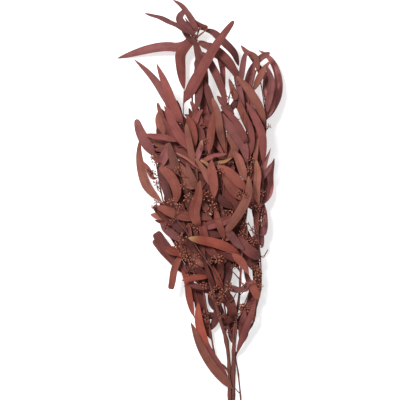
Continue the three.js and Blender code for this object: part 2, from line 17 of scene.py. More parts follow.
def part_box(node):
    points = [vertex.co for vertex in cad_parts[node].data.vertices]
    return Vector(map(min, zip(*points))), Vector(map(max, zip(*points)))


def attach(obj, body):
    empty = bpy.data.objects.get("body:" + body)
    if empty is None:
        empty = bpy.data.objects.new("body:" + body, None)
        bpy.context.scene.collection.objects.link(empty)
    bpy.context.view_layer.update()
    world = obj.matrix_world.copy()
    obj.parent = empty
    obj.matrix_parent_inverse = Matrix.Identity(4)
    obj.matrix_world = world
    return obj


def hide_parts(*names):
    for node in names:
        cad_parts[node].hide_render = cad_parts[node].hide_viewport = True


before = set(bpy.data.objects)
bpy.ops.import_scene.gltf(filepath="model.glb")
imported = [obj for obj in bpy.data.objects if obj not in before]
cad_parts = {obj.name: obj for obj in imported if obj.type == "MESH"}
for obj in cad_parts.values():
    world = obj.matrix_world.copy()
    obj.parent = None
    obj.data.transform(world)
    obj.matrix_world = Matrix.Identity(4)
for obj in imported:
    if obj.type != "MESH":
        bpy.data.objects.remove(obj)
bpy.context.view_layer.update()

MM = 0.001
TINY = 1e-6
UP, DOWN = Vector((0, 0, 1)), Vector((0, 0, -1))
QUARTER_TURN = math.radians(90)

# ---- Camera, light and table ---------------------------------------------------------------------------

VIEW_CENTRE = (0.75 * MM, 18 * MM)  # below the camera
VIEW_WIDTH = 600 * MM
CAMERA_HEIGHT = 6.0
MIDDLE_HEIGHT = 40 * MM  # of the bunch, where the view is VIEW_WIDTH wide
SENSOR_WIDTH = 36
FAR_CLIP = 50
WHITE = (1.0, 1.0, 1.0, 1.0)
SKY_STRENGTH = 0.45
KEY_PLACE = (-0.8, 0.9, 1.9)
KEY_SIZE = 0.7
KEY_WATTS = 52
KEY_COLOUR = (1.0, 0.985, 0.97)
TABLE_SIZE = 14
TABLE_COLOUR = (0.76, 0.76, 0.77, 1)
TABLE_GLOW = 0.55


def add_camera():
    data = bpy.data.cameras.new("camera")
    data.sensor_width = SENSOR_WIDTH
    data.lens = SENSOR_WIDTH * (CAMERA_HEIGHT - MIDDLE_HEIGHT) / VIEW_WIDTH
    data.clip_end = FAR_CLIP
    camera = bpy.data.objects.new("camera", data)
    camera.location = (*VIEW_CENTRE, CAMERA_HEIGHT)
    bpy.context.scene.collection.objects.link(camera)
    bpy.context.scene.camera = camera


def add_key_light():
    data = bpy.data.lights.new("key_light", "AREA")
    data.shape = "DISK"
    data.size = KEY_SIZE
    data.energy = KEY_WATTS
    data.color = KEY_COLOUR
    light = bpy.data.objects.new("key_light", data)
    light.location = KEY_PLACE
    aim = Vector((*VIEW_CENTRE, 0)) - Vector(KEY_PLACE)
    light.rotation_euler = aim.to_track_quat("-Z", "Y").to_euler()
    bpy.context.scene.collection.objects.link(light)


def light_scene():
    world = bpy.data.worlds.new("soft_daylight")
    world.use_nodes = True
    sky = world.node_tree.nodes["Background"]
    sky.inputs["Color"].default_value = WHITE
    sky.inputs["Strength"].default_value = SKY_STRENGTH
    bpy.context.scene.world = world
    add_key_light()
    bpy.context.scene.view_settings.view_transform = "Standard"


def add_table():
    table = add_primitive(bpy.ops.mesh.primitive_plane_add, size=TABLE_SIZE)
    table.name = "table"
    finish = Finish("pale_table", 0.9, 0.1)
    finish.shader.inputs["Base Color"].default_value = TABLE_COLOUR
    finish.shader.inputs["Emission Color"].default_value = WHITE
    finish.shader.inputs["Emission Strength"].default_value = TABLE_GLOW
    table.data.materials.append(finish.material)


# ---- Finishes ------------------------------------------------------------------------------------------

LEAF_ROUGHNESS = 0.68
LEAF_GLOSS = 0.16
DRY_GLOSS = 0.3  # of bark, pith and husks
OLIVE = (0.43, 0.27, 0.12)
PALE_PITH = (0.36, 0.2, 0.11)
# name: the upper side of the blade
LEAF_COLOURS = {
    # rose: pinkish, partly the dusty bloom of the leaves and partly a painted sheen where they face the light
    "rose": (0.275, 0.094, 0.090),
    "wine": (0.212, 0.060, 0.053),
    "red": (0.275, 0.078, 0.057),
    "ruddy": (0.310, 0.070, 0.048),
    "orange": (0.305, 0.083, 0.060),
    "dusty": (0.268, 0.091, 0.068),
    # dark: painted shade, for leaves deep in the pile and in the hollows between the others
    "dark": (0.135, 0.032, 0.025),
    "tan": (0.300, 0.145, 0.070),
}
UNDERSIDE = 1.12  # how much paler a leaf is underneath
GREYER = 0.15  # share of grey in its colour there


class Finish:
    """A material's nodes, added one after another."""

    def __init__(self, name, roughness, gloss):
        self.material = bpy.data.materials.new(name)
        self.material.use_nodes = True
        self.tree = self.material.node_tree
        self.shader = self.tree.nodes["Principled BSDF"]
        self.shader.inputs["Roughness"].default_value = roughness
        self.shader.inputs["Specular IOR Level"].default_value = gloss

    def set(self, socket, value):
        """Links a node's output, or sets a plain value."""
        if isinstance(value, bpy.types.NodeSocket):
            self.tree.links.new(value, socket)
        else:
            socket.default_value = value

    def node(self, kind, output=0, settings=None, **inputs):
        """Adds a node. An input is given by its name, or by i and its number."""
        node = self.tree.nodes.new(kind)
        for key, value in (settings or {}).items():
            setattr(node, key, value)
        for key, value in inputs.items():
            place = int(key[1:]) if key[0] == "i" and key[1:].isdigit() else key.replace("_", " ")
            self.set(node.inputs[place], value)
        return node.outputs[output]

    def math(self, operation, first, second=0.0, third=0.0):
        settings = {"operation": operation}
        return self.node("ShaderNodeMath", settings=settings, i0=first, i1=second, i2=third)

    def mix(self, share, first, second):
        return self.node("ShaderNodeMix", 2, {"data_type": "RGBA"}, i0=share, i6=first, i7=second)

    def noise(self, place, scale, detail, roughness=0.5):
        return self.node(
            "ShaderNodeTexNoise", Vector=place, Scale=scale, Detail=detail, Roughness=roughness
        )

    def ramp(self, value, low, high, to_low=0.0, to_high=1.0):
        """Goes softly from to_low to to_high as the value goes from low to high."""
        settings = {"interpolation_type": "SMOOTHSTEP"}
        return self.node(
            "ShaderNodeMapRange", 0, settings, i0=value, i1=low, i2=high, i3=to_low, i4=to_high
        )

    def tint(self, colour, tone, value, low, high, share=1.0):
        """The colour with the tone mixed in, up to the share as the value goes from low to high."""
        return self.mix(self.ramp(value, low, high, 0.0, share), colour, (*tone, 1))

    def attribute(self, name):
        return self.node("ShaderNodeAttribute", 2, {"attribute_name": name})

    def object_place(self, stretch=(1, 1, 1)):
        place = self.node("ShaderNodeTexCoord", "Object")
        return self.node("ShaderNodeMapping", Vector=place, Scale=stretch)

    def bump(self, height, strength, depth):
        relief = self.node("ShaderNodeBump", Height=height, Strength=strength, Distance=depth)
        self.set(self.shader.inputs["Normal"], relief)


def leaf_finish(name, blade):
    """A dry blade: softly mottled and streaked, with a fine midrib, side veins, a thin dark margin of painted
    shade and a dark point. The piece's own attributes say how light it is, partly its own tone and partly
    painted light and shade, and how olive it turns towards its point."""
    f = Finish(name, LEAF_ROUGHNESS, LEAF_GLOSS)
    margin = tuple(0.70 * part for part in blade)
    rib = tuple(1.12 * part + 0.010 for part in blade)
    # the dark tone of the point, also used for the painted shade along the margins
    tip = tuple(0.34 * part for part in blade)
    across, along = (
        f.node("ShaderNodeSeparateXYZ", axis, Vector=f.node("ShaderNodeUVMap", settings={"uv_map": "blade"}))
        for axis in ("X", "Y")
    )
    place = f.object_place()
    off_rib = f.math("ABSOLUTE", f.math("SUBTRACT", across, 0.5))
    blotches = f.noise(place, 70, 3.0, 0.55)
    flecks = f.noise(place, 1000, 2.0, 0.6)
    lengthwise = f.node(
        "ShaderNodeCombineXYZ",
        X=f.math("MULTIPLY", across, 9.0), Y=f.math("MULTIPLY", along, 3.0), Z=blotches,
    )
    streaks = f.noise(lengthwise, 1.6, 3.0, 0.6)
    slant = f.math("SUBTRACT", f.math("MULTIPLY", along, 14.0), f.math("MULTIPLY", off_rib, 2.6))
    veins = f.node(
        "ShaderNodeTexWave", 1, {"wave_profile": "SIN"}, Scale=1.0, Distortion=0.6, Detail=1.0,
        Vector=f.node("ShaderNodeCombineXYZ", X=slant),
    )
    midrib = f.ramp(off_rib, 0.010, 0.035, 0.7, 0.0)
    to_point = f.math("ADD", along, f.math("MULTIPLY", f.math("SUBTRACT", blotches, 0.5), 0.2))
    colour = f.tint((*blade, 1), margin, blotches, 0.36, 0.68, 0.75)
    colour = f.tint(colour, margin, streaks, 0.50, 0.72, 0.45)
    colour = f.tint(colour, rib, streaks, 0.50, 0.30, 0.30)
    colour = f.mix(midrib, colour, (*rib, 1))
    colour = f.tint(colour, rib, veins, 0.80, 1.0, 0.16)
    colour = f.tint(colour, margin, flecks, 0.60, 0.78, 0.30)
    # a thin dark margin along both edges: painted shade where the leaves overlap
    colour = f.tint(colour, tip, off_rib, 0.43, 0.5, 0.55)
    colour = f.tint(colour, tip, to_point, 0.90, 1.0, 0.8)
    olive = f.math("MULTIPLY", f.attribute("olive"), f.ramp(to_point, 0.62, 1.0))
    colour = f.mix(olive, colour, (*OLIVE, 1))
    # the leaf's shade: partly its own lighter or darker tone, partly painted light and shade of its place in
    # the bunch
    colour = f.node("ShaderNodeHueSaturation", Value=f.attribute("shade"), Color=colour)
    f.set(f.shader.inputs["Base Color"], colour)
    wear = f.math("MULTIPLY_ADD", blotches, 0.25, LEAF_ROUGHNESS - 0.12)
    f.set(f.shader.inputs["Roughness"], wear)
    relief = f.math("ADD", f.math("MULTIPLY", veins, 0.5), f.math("MULTIPLY", flecks, 0.6))
    f.bump(f.math("SUBTRACT", relief, f.math("MULTIPLY", midrib, 1.2)), 0.35, 0.25 * MM)
    return f.material


def bark_finish(name, bark, streak, patch):
    """Dark dry bark with long streaks, patches and small pale pores."""
    f = Finish(name, 0.7, DRY_GLOSS)
    streaks = f.noise(f.object_place((1, 0.12, 1)), 1400, 3.0, 0.6)
    patches = f.noise(f.object_place(), 60, 2.0)
    pores = f.noise(f.object_place((1, 0.5, 1)), 1100, 1.0)
    colour = f.tint((*bark, 1), streak, streaks, 0.35, 0.7)
    colour = f.tint(colour, patch, patches, 0.45, 0.75, 0.6)
    colour = f.tint(colour, PALE_PITH, pores, 0.68, 0.76, 0.5)
    f.set(f.shader.inputs["Base Color"], colour)
    f.bump(streaks, 0.5, 0.3 * MM)
    return f.material


def plain_finish(name, base, mottle, scale, roughness, depth, maroon_and_painted_shade=None):
    """A dry husk or pith whose colour wanders between two tones. The tone given last, if any, is a darker
    maroon, partly the capsules' own colour and partly painted shade; the piece's own attribute of the same
    name mixes it in."""
    f = Finish(name, roughness, DRY_GLOSS)
    grain = f.noise(f.object_place(), scale, 3.0, 0.6)
    colour = f.tint((*base, 1), mottle, grain, 0.35, 0.68)
    if maroon_and_painted_shade:
        colour = f.mix(f.attribute("maroon_and_painted_shade"), colour, (*maroon_and_painted_shade, 1))
    f.set(f.shader.inputs["Base Color"], colour)
    f.bump(grain, 0.4, depth)
    return f.material


def paler(colour):
    """The underside's tone: paler and greyer."""
    mean = sum(colour) / 3
    return tuple(UNDERSIDE * ((1 - GREYER) * part + GREYER * mean) for part in colour)


# name: finishes of the upper side and the underside
LEAF_FINISHES = {
    name: (leaf_finish(f"{name}_leaf", colour), leaf_finish(f"{name}_leaf_underside", paler(colour)))
    for name, colour in LEAF_COLOURS.items()
}


# ---- Modelling helpers ---------------------------------------------------------------------------------


def add_primitive(operator, **sizes):
    bpy.ops.object.select_all(action="DESELECT")
    operator(**sizes)
    return bpy.context.object


def pick(*pieces):
    """Selects these pieces alone, the first one as the active piece."""
    bpy.ops.object.select_all(action="DESELECT")
    for piece in pieces:
        piece.select_set(True)
    bpy.context.view_layer.objects.active = pieces[0]


def edit(piece):
    bpy.context.view_layer.objects.active = piece
    bpy.ops.object.mode_set(mode="EDIT")


def leave_edit():
    bpy.ops.object.mode_set(mode="OBJECT")


def select_points(piece, wanted):
    """In edit mode, selects the points that wanted picks."""
    bpy.ops.mesh.select_all(action="DESELECT")
    mesh = bmesh.from_edit_mesh(piece.data)
    for vertex in mesh.verts:
        if wanted(vertex):
            vertex.select_set(True)
    mesh.select_flush(True)
    bmesh.update_edit_mesh(piece.data)


def select_faces(piece, wanted):
    """In edit mode, selects the faces whose middle wanted picks."""
    bpy.ops.mesh.select_all(action="DESELECT")
    mesh = bmesh.from_edit_mesh(piece.data)
    for face in mesh.faces:
        face.select_set(wanted(face.calc_center_median()))
    bmesh.update_edit_mesh(piece.data)


def outward_normals():
    """In edit mode, turns all faces outwards."""
    bpy.ops.mesh.select_all(action="SELECT")
    bpy.ops.mesh.normals_make_consistent(inside=False)


def apply_modifier(piece, kind, **settings):
    modifier = piece.modifiers.new(kind.lower(), kind)
    for key, value in settings.items():
        setattr(modifier, key, value)
    pick(piece)
    bpy.ops.object.modifier_apply(modifier=modifier.name)


def smooth(piece, degrees):
    pick(piece)
    bpy.ops.object.shade_smooth_by_angle(angle=math.radians(degrees))


def copy_of(blank, name):
    piece = bpy.data.objects.new(name, blank.data.copy())
    piece.data.name = name
    bpy.context.scene.collection.objects.link(piece)
    return piece


def place_copy(blank, foot, direction, size):
    """A copy of a blank that stands at foot and points along direction."""
    copy = copy_of(blank, "copy")
    copy.location = foot
    copy.rotation_mode = "QUATERNION"
    copy.rotation_quaternion = direction.to_track_quat("Z", "Y")
    copy.scale = (size, size, size)
    return copy


def joined(pieces, name):
    """One piece out of several, with its place in its mesh."""
    bpy.context.view_layer.update()
    pick(*pieces)
    bpy.ops.object.join()
    whole = bpy.context.object
    bpy.ops.object.transform_apply(location=True, rotation=True, scale=True)
    whole.name = whole.data.name = name
    return whole


def remove(piece):
    data = piece.data
    bpy.data.objects.remove(piece)
    if isinstance(data, bpy.types.Curve):
        bpy.data.curves.remove(data)
    else:
        bpy.data.meshes.remove(data)


def add_materials(piece, materials):
    for material in materials:
        piece.data.materials.append(material)


def set_attribute(piece, name, value):
    attribute = piece.data.attributes.new(name, "FLOAT", "POINT")
    attribute.data.foreach_set("value", [value] * len(piece.data.vertices))


def guide_line(points, radii, rolls):
    """A curve through the points that a blank is bent along, with its width and roll at each of them."""
    data = bpy.data.curves.new("guide", "CURVE")
    data.dimensions = "3D"
    data.twist_mode = "Z_UP"
    data.use_stretch = data.use_deform_bounds = data.use_radius = True
    data.resolution_u = 6
    spline = data.splines.new("BEZIER")
    spline.bezier_points.add(len(points) - 1)
    for knot, place, radius, roll in zip(spline.bezier_points, points, radii, rolls):
        knot.co = place
        knot.handle_left_type = knot.handle_right_type = "AUTO"
        knot.radius = radius
        knot.tilt = roll
    guide = bpy.data.objects.new("guide", data)
    bpy.context.scene.collection.objects.link(guide)
    return guide


def bend(blank, name, points, radii, rolls=None):
    """A copy of the blank, bent along the points."""
    piece = copy_of(blank, name)
    guide = guide_line(points, radii, rolls or [0.0] * len(points))
    apply_modifier(piece, "CURVE", object=guide, deform_axis="POS_Y")
    remove(guide)
    return piece


# ---- Leaf blanks ---------------------------------------------------------------------------------------

BLANK_LENGTH = 100 * MM
BLANK_WIDTH = 12 * MM
BLADE_THICKNESS = 0.45 * MM
COLUMNS = 6
SWAY_STOPS = 5  # the sway dies out over the last fifth of the blade
# An outline is the blade's width, as a share of its widest, at these shares of its length: first along its
# stalk, long or short, and then to its tip.
LONG_STALK_SHARES = (0.0, 0.025, 0.055, 0.085, 0.125, 0.175, 0.24, 0.32)
SHORT_STALK_SHARES = (0.0, 0.02, 0.045, 0.075, 0.11, 0.155, 0.22, 0.31)
BLADE_SHARES = (0.41, 0.51, 0.61, 0.70, 0.78, 0.85, 0.905, 0.945, 0.973, 0.99, 1.0)
LONG_STALK = (0.13, 0.11, 0.12, 0.22, 0.42, 0.62, 0.80)
OUTLINES = {
    "even": (*LONG_STALK, 0.94, 0.99, 1.0, 0.985, 0.94, 0.86, 0.73, 0.57, 0.41, 0.26, 0.13, 0.03),
    "pointed": (*LONG_STALK, 0.95, 1.0, 0.97, 0.90, 0.79, 0.66, 0.51, 0.37, 0.24, 0.14, 0.07, 0.03),
    "strap": (*LONG_STALK, 0.95, 1.0, 1.0, 0.97, 0.91, 0.83, 0.74, 0.65, 0.55, 0.43, 0.28, 0.08),
    "blunt": (*LONG_STALK, 0.95, 1.0, 1.0, 1.0, 1.0, 0.98, 0.94, 0.92, 0.88, 0.80, 0.66, 0.45),
    "full": (
        0.13, 0.12, 0.30, 0.55, 0.76, 0.88, 0.95, 1.0,
        1.0, 0.98, 0.93, 0.85, 0.74, 0.61, 0.46, 0.32, 0.20, 0.10, 0.03,
    ),
    "lance": (
        0.13, 0.12, 0.25, 0.50, 0.75, 0.92, 1.0, 1.0,
        0.95, 0.88, 0.81, 0.74, 0.67, 0.60, 0.53, 0.46, 0.37, 0.25, 0.07,
    ),
}
SHORT_STALKED = ("full", "lance")
# how far the margins lift, how far and how often they ripple, and how far the blade sways
BLADE_KINDS = ((1.0, 0.4, 2.0, 0.8), (1.7, 0.6, 3.1, -1.0), (-0.8, 0.5, 1.7, 0.3))


def rows_of_outline(outline):
    """Shares of the length, each with the width there."""
    stalk_shares = SHORT_STALK_SHARES if outline in SHORT_STALKED else LONG_STALK_SHARES
    return tuple(zip((*stalk_shares, *BLADE_SHARES), OUTLINES[outline]))


def refined(rows):
    """Twice as many rows, with the new ones on a smooth line through the others."""
    line = np.array([rows[0], *rows, rows[-1]])
    middles = (9 * (line[1:-2] + line[2:-1]) - line[:-3] - line[3:]) / 16
    return [tuple(row) for pair in zip(rows, middles) for row in pair] + [rows[-1]]


def leaf_blank(name, rows, fold, wave, turns, sway):
    """A flat leaf along +Y. fold lifts its margins, wave ripples them that many turns along the blade, and
    sway swings the blade to one side and back."""
    fold, wave, sway = fold * MM, wave * MM, sway * MM
    rows = refined(rows)
    last = len(rows) - 1
    blank = add_primitive(
        bpy.ops.mesh.primitive_grid_add, x_subdivisions=COLUMNS, y_subdivisions=last, size=1,
        location=(0, 0.5, 0),
    )
    bpy.ops.object.transform_apply()
    blank.name = name
    blank.data.uv_layers[0].name = "blade"
    add_materials(blank, LEAF_FINISHES["red"])
    row_of = [round(vertex.co.y * last) for vertex in blank.data.vertices]
    column_of = [round(vertex.co.x * COLUMNS) for vertex in blank.data.vertices]
    edge = COLUMNS // 2
    edit(blank)
    bpy.ops.transform.resize(value=(BLANK_WIDTH, BLANK_LENGTH, 1), center_override=(0, 0, 0))
    for column in range(-edge, edge + 1):
        select_points(blank, lambda v: column_of[v.index] == column)
        bpy.ops.transform.translate(value=(0, 0, fold * (abs(column) / edge - 0.5)))
    for row, (share, width) in enumerate(rows):
        y = row / last * BLANK_LENGTH
        select_points(blank, lambda v: row_of[v.index] == row)
        bpy.ops.transform.resize(value=(width, 1, width), center_override=(0, y, 0))
        swing = sway * math.sin(math.tau * share) * min(1, SWAY_STOPS * (1 - share))
        bpy.ops.transform.translate(value=(swing, share * BLANK_LENGTH - y, 0))
        for side in (-1, 1):
            ripple = wave * width * math.sin(math.tau * turns * share + side)
            select_points(blank, lambda v: row_of[v.index] == row and side * column_of[v.index] == edge)
            bpy.ops.transform.translate(value=(0, 0, ripple))
    leave_edit()
    apply_modifier(
        blank, "SOLIDIFY", thickness=BLADE_THICKNESS, offset=0, material_offset=1, use_even_offset=False
    )
    smooth(blank, 30)
    return blank


# ---- Stem and twig blanks ------------------------------------------------------------------------------

STEM_SIDES, STEM_STEPS = 10, 60
TWIG_SIDES, TWIG_STEPS = 6, 8
KNOT_EVERY = 4  # steps
KNOT_SWELLING = 0.32
BARK_AT_CUT = 0.18 * MM  # how thick the bark is at a cut end, on the blank


def bar_blank(name, sides, steps, materials, knots=0):
    """A round bar along +Y, 1 mm in radius, drawn out step by step. With knots, it swells each time that many
    steps are done, and its foot has a cut face inside the bark."""
    bar = add_primitive(
        bpy.ops.mesh.primitive_circle_add, vertices=sides, radius=MM, fill_type="NGON",
        rotation=(QUARTER_TURN, 0, 0),
    )
    bpy.ops.object.transform_apply()
    bar.name = name
    step = BLANK_LENGTH / steps
    edit(bar)
    bpy.ops.mesh.select_all(action="SELECT")
    size = 1.0
    for index in range(1, steps + 1):
        bpy.ops.mesh.extrude_region_move(TRANSFORM_OT_translate={"value": (0, step, 0)})
        wanted = 1.0 + (KNOT_SWELLING if knots and index % knots == 0 else 0.0)
        growth = wanted / size
        bpy.ops.transform.resize(value=(growth, 1, growth), center_override=(0, index * step, 0))
        size = wanted
    outward_normals()
    if knots:
        select_faces(bar, lambda middle: middle.y < TINY)
        bpy.ops.mesh.inset(thickness=BARK_AT_CUT)
    leave_edit()
    smooth(bar, 50)
    add_materials(bar, materials)
    return bar


def mark_cut_end(bar, material_index):
    """Gives the face inside the bark at the bar's foot its own material."""
    for face in bar.data.polygons:
        if face.center.y < TINY and len(face.vertices) == STEM_SIDES:
            face.material_index = material_index


# ---- Reading the frame ---------------------------------------------------------------------------------

SAME_PLACE = 1e-5  # the nodes' loose triangles are merged within this
LENGTH_COUNTS = 0.3  # how much its length counts in the choice of a section's widest pair of corners


def sections_of(node):
    """A leaf node's sections, from its stalk to its tip: four corners each. The node's two smallest triangles
    close its tip, and the next two its stalk."""
    mesh = bmesh.new()
    mesh.from_mesh(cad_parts[node].data)
    bmesh.ops.remove_doubles(mesh, verts=mesh.verts, dist=SAME_PLACE)
    faces = sorted(mesh.faces, key=lambda face: face.calc_area())
    section = {vertex for face in faces[2:4] for vertex in face.verts}
    seen, sections = set(), []
    while section:
        sections.append(sorted((vertex.co.copy() for vertex in section), key=tuple))
        seen |= section
        section = {e.other_vert(v) for v in section for e in v.link_edges} - seen
    mesh.free()
    return sections


def width_score(pair, side):
    """How well the line between two corners stands for the width: the longest at the stalk, and then the one
    that turns least from the side that the last section's pointed to."""
    if side is None:
        return pair.length
    return abs(pair.normalized().dot(side)) * pair.length ** LENGTH_COUNTS


def line_of(node):
    """The middle points, widths and rolls of a leaf node."""
    sections = sections_of(node)
    points = [sum(section, Vector()) / len(section) for section in sections]
    last = len(points) - 1
    widths, rolls, side = [], [], None
    for index, section in enumerate(sections):
        pairs = [(a - b) for i, a in enumerate(section) for b in section[i + 1:]]
        across = max(pairs, key=lambda pair: width_score(pair, side))
        along = (points[min(index + 1, last)] - points[max(index - 1, 0)]).normalized()
        left = UP.cross(along).normalized()
        if across.dot(side or left) < 0:
            across = -across
        side = across.normalized()
        widths.append(across.length)
        rolls.append(math.atan2(side.dot(along.cross(left)), side.dot(left)))
    return points, widths, rolls


# ---- Reading the tables --------------------------------------------------------------------------------


def rows_of(table):
    """The lines of a table, each as a list of its words."""
    return [line.split() for line in table.strip().splitlines()]


def numbers_of(words):
    """The numbers in each of the words, such as 12,-5."""
    return [tuple(float(part) for part in word.split(",")) for word in words]


def level_of(word):
    """The height over its foot that a piece wants, or None for one that lies on top."""
    return None if word == "-" else float(word)


def in_metres(route):
    """A route in millimetres, with or without heights, as points."""
    return [Vector(place).to_3d() * MM for place in route]


# ---- Lines ---------------------------------------------------------------------------------------------

PLAN_STEP = 5 * MM
FINE_STEP = 3 * MM
STEPS_BETWEEN = 16  # on the smooth line, from one place of the route to the next


def curve_through(route, step=PLAN_STEP):
    """Evenly spaced points on a smooth line through the route."""
    knots = [Vector(point) for point in route]
    knots = [2 * knots[0] - knots[1], *knots, 2 * knots[-1] - knots[-2]]
    dense = []
    for a, b, c, d in zip(knots, knots[1:], knots[2:], knots[3:]):
        for index in range(STEPS_BETWEEN):
            t = index / STEPS_BETWEEN
            dense.append(0.5 * (
                2 * b + (c - a) * t + (2 * a - 5 * b + 4 * c - d) * t * t + (3 * b - a - 3 * c + d) * t ** 3
            ))
    dense.append(knots[-2])
    lengths = np.cumsum([0.0] + [(q - p).length for p, q in zip(dense, dense[1:])])
    count = max(3, round(lengths[-1] / step))
    line = []
    for target in np.linspace(0, lengths[-1], count + 1):
        index = min(max(int(np.searchsorted(lengths, target)), 1), len(dense) - 1)
        share = (target - lengths[index - 1]) / max(lengths[index] - lengths[index - 1], 1e-9)
        line.append(dense[index - 1].lerp(dense[index], share))
    return line


def raised(plan, heights, start):
    """The plan's points at their heights, the first one moved to the start."""
    points = [Vector((point.x, point.y, height)) for point, height in zip(plan, heights)]
    return [start.copy(), *points[1:]]


# ---- Stems ---------------------------------------------------------------------------------------------

# name: radius at the cut end, a fifth of the way up and at the tip, route
STEMS = {
    "main": (1.9, 2.1, 1.0, (
        (48.8, -317, 2), (48.8, -280, 2.8), (49.6, -244, 3.8), (50.8, -214, 5.5), (52, -184, 9),
        (56, -156, 13), (60, -124, 18), (62, -90, 24), (65, -50, 30), (70, -4, 35), (73, 40, 38),
        (71, 93, 39), (71, 138, 39), (76, 176, 38), (85, 213, 36),
    )),
    "left": (1.7, 3.0, 1.0, (
        (44.7, -315, 1.8), (44.6, -280, 2.6), (45.2, -252, 3.8), (44, -222, 5.6), (40, -192, 9),
        (32, -165, 14), (23, -132, 20), (13, -94, 26), (5, -57, 31), (1, -20, 35), (-2, 33, 38),
        (-5, 78, 40), (-7, 123, 41), (-11, 176, 41), (-5, 228, 39), (-4, 261, 37), (0, 276, 36),
    )),
    "far_left": (1.6, 1.5, 0.9, (
        (46.9, -316, 5.2), (46.9, -280, 5.8), (44, -242, 8.2), (34, -231, 8.5), (24, -219, 9),
        (20, -200, 11), (16, -177, 14), (11, -147, 18), (5, -117, 21), (-10, -87, 24), (-25, -57, 26),
        (-41, -20, 28), (-55, 18, 29), (-62, 56, 30), (-67, 86, 30),
    )),
    "right": (1.3, 1.3, 0.8, (
        (52.3, -314, 1.3), (52.4, -280, 1.6), (53.2, -240, 3.5), (54.5, -216, 6), (62, -202, 8),
        (73, -180, 11), (82, -165, 14), (86, -140, 18), (92, -117, 21), (92, -75, 25), (88, -34, 28),
        (89, -4, 30), (94, 33, 32), (97, 93, 34), (100, 135, 34), (95, 176, 33), (88, 210, 32),
        (76, 232, 31),
    )),
    "thin": (1.1, 1.1, 0.7, (
        (63, -312, 1.2), (62, -280, 1.6), (60, -260, 1.7), (58, -240, 1.9), (55, -225, 2.2), (52, -200, 3),
        (43, -170, 8), (34, -117, 19), (31, -57, 31), (34, 3, 39), (38, 63, 44), (43, 123, 48),
        (44, 168, 51), (49, 190, 52),
    )),
    "front": (1.4, 1.5, 0.8, (
        (50.6, -318, 5.3), (50.8, -280, 5.8), (51.7, -244, 7.2), (53, -207, 11.5), (55, -159, 20),
        (38, -124, 29), (20, -87, 37), (1, -60, 43), (-17, -33, 47), (-38, -6, 50),
    )),
}
# a side shoot of the left stem
SHOOT = (1.0, 0.9, 0.6, ((-6, 93, 40), (-19, 114, 42), (-24, 138, 43), (-24, 162, 44), (-23, 186, 46)))
STEM_STEP = 12 * MM
RADIUS_SHARES = (0, 0.2, 0.45, 1)  # of the length, where a stem's radius is set

stem_lines = []  # (points, radii) of every stem and shoot, for what grows on them


def bend_stem(blank, name, start, waist, end, route):
    """A stem along its route. waist is its radius a fifth of the way up."""
    points = curve_through(in_metres(route), STEM_STEP)
    shares = np.linspace(0, 1, len(points))
    radii = np.interp(shares, RADIUS_SHARES, (start, waist, (waist + end) / 2, end)).tolist()
    stem_lines.append((points, [radius * MM for radius in radii]))
    return bend(blank, name, points, radii)


def nearest_stem(place):
    """How far the nearest stem is seen from above, its middle there, and its radius."""
    best = None
    for points, radii in stem_lines:
        for (a, b), radius in zip(zip(points, points[1:]), radii):
            run = (b - a).to_2d()
            share = min(max((place.to_2d() - a.to_2d()).dot(run) / run.length_squared, 0), 1)
            centre = a.lerp(b, share)
            away = (centre - place).to_2d().length
            if best is None or away < best[0]:
                best = (away, centre, radius)
    return best


# ---- Room between the pieces ---------------------------------------------------------------------------

LOWEST_LEVEL = 1.5 * MM
CEILING = 87 * MM  # nothing grows higher
LEVEL_STEP = 1 * MM
AIR = 0.9 * MM  # least room above and below a blade
ON_TOP = 9 * MM  # least rise over its foot of what lies on top
LEAST_WISH = 2 * MM
# what a line through the levels pays
BLOCKED_COST = 60.0  # for a point in another piece
TOP_COST = 0.12  # for a millimetre, squared, off the top of the pile
WISH_COST = 0.04  # for a millimetre, squared, off the wish
CLIMB_COST = 0.6  # for a level, squared, from one point to the next
STEEPEST = 5  # levels from one point to the next
NEVER = 1e9
SMOOTHINGS = 2
STALK_HALF_WIDTH = 1 * MM  # room that a stalk or a twig asks for


class Pile:
    """The pieces laid so far."""

    def __init__(self):
        self.trees = []

    def add(self, piece):
        points = [vertex.co.copy() for vertex in piece.data.vertices]
        faces = [tuple(face.vertices) for face in piece.data.polygons]
        low = [min(point[axis] for point in points) for axis in (0, 1)]
        high = [max(point[axis] for point in points) for axis in (0, 1)]
        self.trees.append((BVHTree.FromPolygons(points, faces), low, high))

    def spans(self, x, y, first=False):
        """Lowest and highest point of each piece over a place on the table, or of the first one found."""
        found = []
        for tree, low, high in self.trees:
            if low[0] <= x <= high[0] and low[1] <= y <= high[1]:
                top = tree.ray_cast(Vector((x, y, 1)), DOWN)[0]
                if top is not None:
                    found.append((tree.ray_cast(Vector((x, y, -1)), UP)[0].z, top.z))
                    if first:
                        break
        return found


pile = Pile()


def lay(piece):
    """Hands a finished piece to the frame, and to the pile."""
    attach(piece, "root")
    pile.add(piece)


